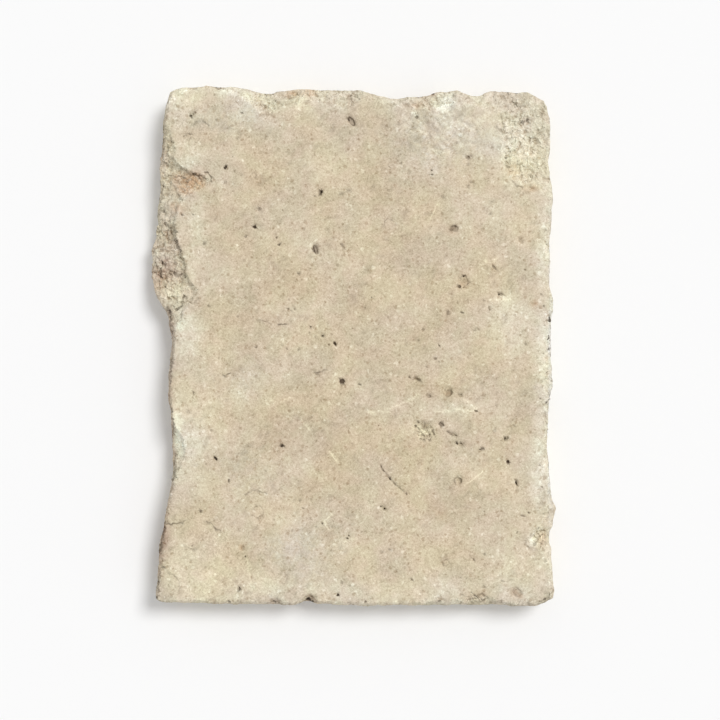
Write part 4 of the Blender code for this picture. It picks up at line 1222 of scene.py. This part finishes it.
@dataclass(frozen=True)
class Limestone:
    """The finish of weathered limestone, from the colours that a screen shows.

    Attributes:
        light: how much brighter the light makes the stone than its own colour.
        middle: its middle colour.
        stone: the colours from its darkest mottling to its palest.
        swells: the sizes of its mottling.
        spots: the marks scattered over it.
        tints: the colour that the middle stone takes from each tint.
        pit: the colour in its pits and cracks: dirt, and in the pits also painted shade.
        vein: the colour of its veins, also laid on the tops of broken relief and on the ripple's crests,
            partly as painted highlight.
        broken: the colour of its broken faces.
        crevice: the colour in their crevices.
        margin: the colour near its edges.
    """

    light: float = 1.0
    middle: tuple[int, int, int] = (209, 193, 165)
    stone: tuple[tuple[float, tuple[int, int, int]], ...] = (
        (0.0, (146, 128, 102)), (0.3, (190, 174, 147)), (0.5, (209, 193, 166)),
        (0.7, (225, 211, 184)), (1.0, (241, 231, 207)),
    )
    swells: tuple[Swell, ...] = (
        Swell(1.2, 0.4), Swell(2.3, 0.58, 1.0, 1.6), Swell(4.4, 0.32, 1.0, 2.0),
    )
    spots: tuple[Spots, ...] = (
        Spots(7.5, 0.4, 0.13, 0.85, (128, 107, 80)),
        Spots(3.6, 0.5, 0.29, 0.7, (174, 152, 122)),
        Spots(4.4, 0.5, 0.27, 0.7, (236, 224, 198)),
    )
    tints: tuple[tuple[Tint, tuple[int, int, int]], ...] = (
        (Tint.BLEACHED_AND_HIGHLIGHT, (229, 219, 193)), (Tint.CREAM, (229, 217, 184)), (Tint.TAN, (198, 179, 149)),
        (Tint.GREY, (211, 202, 184)), (Tint.RUST, (190, 156, 120)), (Tint.GRIME_AND_SHADE, (183, 160, 135)),
    )
    pit: tuple[int, int, int] = (84, 69, 52)
    vein: tuple[int, int, int] = (238, 225, 194)
    broken: tuple[int, int, int] = (221, 206, 177)
    crevice: tuple[int, int, int] = (138, 114, 84)
    margin: tuple[int, int, int] = (216, 205, 183)

    def _ratio(self, colour: tuple[int, int, int]) -> tuple[float, float, float, float]:
        """What the middle stone is multiplied by to give a colour."""
        return (*(linear(*colour) / linear(*self.middle)), 1.0)

    def material(self) -> bpy.types.Material:
        """Makes the finish.

        Returns:
            The material, for the stone's skin.
        """
        graph = Graph("limestone")
        broken, hollow = graph.attribute("broken"), graph.attribute("hollow")
        tone = self._tone(graph)
        stops = tuple((at, linear(*colour) / self.light) for at, colour in self.stone)
        colour = self._hue(graph, graph.ramp(tone, stops))
        margin = graph.math("MULTIPLY", graph.attribute("margin"), 0.6)
        colour = graph.blend("MULTIPLY", margin, colour, self._ratio(self.margin))
        patchy = graph.ranged(graph.noise(4.0, 8.0, 2.0, 1.0), 0.3, 0.65, 0.5, 1.25)
        for tint, shown in self.tints:
            taken = graph.math("MULTIPLY", graph.attribute(tint.value), patchy)
            colour = graph.blend("MULTIPLY", taken, colour, self._ratio(shown))
        colour = graph.blend("MULTIPLY", broken, colour, self._ratio(self.broken))
        colour = graph.blend("MULTIPLY", graph.attribute("crevice"), colour, self._ratio(self.crevice))
        # Veins, and painted highlight on broken relief tops and ripple crests, all in the pale vein
        # colour.
        colour = graph.blend("MULTIPLY", graph.attribute("vein"), colour, self._ratio(self.vein))
        for k, spots in enumerate(self.spots):
            mark = self._marks(graph, spots, 20.0 + 3.7 * k)
            colour = graph.blend("MULTIPLY", mark, colour, self._ratio(spots.colour))
        # Pits and cracks darkened: dirt, and painted shade in the pits.
        colour = graph.blend("MULTIPLY", hollow, colour, self._ratio(self.pit))
        graph.join(colour, graph.shader.inputs["Base Color"])
        graph.join(graph.ranged(tone, 0.3, 0.7, 0.92, 0.78), graph.shader.inputs["Roughness"])
        grain = graph.math("SUBTRACT", graph.noise(1.3, 1.0, 2.0, 0.6), 0.5)
        strength = graph.math("MULTIPLY_ADD", broken, 0.7, 0.22)
        height = graph.math("MULTIPLY", grain, strength)
        bump = graph.add("Bump", Strength=1.0, Distance=MM, Height=height)
        graph.join(bump.outputs[0], graph.shader.inputs["Normal"])
        return graph.material

    def _tone(self, graph: Graph) -> bpy.types.NodeSocket:
        """The mottling from dark to pale, around 0.5, with short threads of both."""
        tone: object = 0.5
        for k, swell in enumerate(self.swells):
            mottle = graph.math("SUBTRACT", graph.noise(swell.size, 1.0 + 2.3 * k, swell.detail,
                                                        swell.twist), 0.5)
            tone = graph.math("MULTIPLY_ADD", mottle, swell.share, tone)
        level = graph.noise(6.5, 31.0, 1.0, 1.6)
        short = graph.noise(4.0, 33.0)
        for middle, start, end, amount in ((0.5, 0.5, 0.62, -0.2), (0.42, 0.5, 0.38, 0.19)):
            away = graph.math("ABSOLUTE", graph.math("SUBTRACT", level, middle))
            thread = graph.math("MULTIPLY", graph.ranged(away, 0.03, 0.0), graph.ranged(short, start, end))
            tone = graph.math("MULTIPLY_ADD", thread, amount, tone)
        return graph.math("ADD", tone, graph.attribute("swell"))

    def _hue(self, graph: Graph, colour: bpy.types.NodeSocket) -> bpy.types.NodeSocket:
        """Turns the colour a little towards green or pink, and towards yellow or blue."""
        for name, first, second in (
            ("green", (1.012, 0.994, 1.008, 1.0), (0.985, 1.008, 0.99, 1.0)),
            ("yellow", (0.994, 1.0, 1.028, 1.0), (1.008, 1.0, 0.97, 1.0)),
        ):
            turn = graph.blend("MIX", graph.attribute(name), first, second)
            colour = graph.blend("MULTIPLY", 1.0, colour, turn)
        return colour

    def _marks(self, graph: Graph, spots: Spots, seed: float) -> bpy.types.NodeSocket:
        """How strongly each place takes the colour of a scatter of marks."""
        distance, pick, size, force = graph.cells(spots.apart, seed)
        chosen = graph.math("LESS_THAN", pick, spots.chosen)
        radius = graph.math("MULTIPLY_ADD", size, 0.9 * spots.radius, 0.55 * spots.radius)
        share = graph.math("DIVIDE", distance, radius)
        dot = graph.ranged(share, 1.15, 0.55)
        force = graph.math("MULTIPLY_ADD", force, 0.7 * spots.strength, 0.3 * spots.strength)
        return graph.math("MULTIPLY", graph.math("MULTIPLY", chosen, dot), force)


@dataclass
class Studio:
    """The floor, the light and the camera.

    Attributes:
        lens: the camera's lens, for a film 36 mm wide.
        film: the film's width.
        focus_height: the height at which the picture's scale was read.
        key_way: the way from the slab to the key light.
        key_spread_deg: how wide the key light looks from the slab.
        key_power: its power over a square metre that faces it.
        sky: the strength of the light from all round.
        floor_half: half the floor's width, in metres.
    """

    lens: float = 85.0
    film: float = 36.0
    focus_height: float = 24.0
    key_way: tuple[float, float, float] = (0.52, 0.46, 1.0)
    key_spread_deg: float = 24.0
    key_power: float = 1.75
    sky: float = 0.58
    floor_half: float = 3.0

    def camera(self) -> bpy.types.Object:
        """Sets the camera straight above, where the picture was taken from.

        Returns:
            The camera.
        """
        data = bpy.data.cameras.new("camera")
        data.lens, data.sensor_width = self.lens, self.film
        camera = bpy.data.objects.new("camera", data)
        away = PICTURE_WIDTH_PX * EDGE_SCALE * self.lens / self.film
        camera.location = Vector((CAMERA_X, CAMERA_Y, self.focus_height + away)) * MM
        bpy.context.scene.collection.objects.link(camera)
        bpy.context.scene.camera = camera
        return camera

    def floor(self) -> bpy.types.Object:
        """Lays a plain pale floor under the slab.

        Returns:
            The floor.
        """
        bm = bmesh.new()
        bmesh.ops.create_grid(bm, x_segments=1, y_segments=1, size=self.floor_half)
        mesh = bpy.data.meshes.new("floor")
        bm.to_mesh(mesh)
        bm.free()
        graph = Graph("floor_paint")
        graph.shader.inputs["Base Color"].default_value = (0.93, 0.93, 0.93, 1.0)
        graph.shader.inputs["Roughness"].default_value = 0.9
        mesh.materials.append(graph.material)
        floor = bpy.data.objects.new("floor", mesh)
        bpy.context.scene.collection.objects.link(floor)
        return floor

    def light(self) -> None:
        """Lights the slab softly from the far right and from all round."""
        data = bpy.data.lights.new("key", "SUN")
        data.angle, data.energy = math.radians(self.key_spread_deg), self.key_power
        key = bpy.data.objects.new("key", data)
        key.location = self.key_way
        key.rotation_euler = Vector(self.key_way).to_track_quat("Z", "Y").to_euler()
        bpy.context.scene.collection.objects.link(key)
        world = bpy.data.worlds.new("studio")
        world.use_nodes = True
        background = world.node_tree.nodes["Background"]
        background.inputs["Color"].default_value = (1.0, 1.0, 1.0, 1.0)
        background.inputs["Strength"].default_value = self.sky
        bpy.context.scene.world = world
        bpy.context.scene.view_settings.view_transform = "Standard"


def main() -> None:
    """Builds the stone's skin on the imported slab, and the studio round it."""
    logging.basicConfig(level=logging.INFO, format="%(name)s: %(message)s")
    studio = Studio()
    studio.camera()
    studio.floor()
    studio.light()
    slab = SlabFrame(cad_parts["slab"])
    LOG.info("frame: %d arris points, %d pits", len(slab.arris), len(slab.hollows))
    skin = StoneSkin(slab)
    piece = skin.build()
    skin.weather(piece)
    piece.data.materials.append(Limestone().material())
    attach(piece, "root")
    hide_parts("slab")
    triangles = sum(len(p.vertices) - 2 for p in piece.data.polygons)
    LOG.info("%s: %d triangles", piece.name, triangles)


if __name__ == "__main__":
    main()
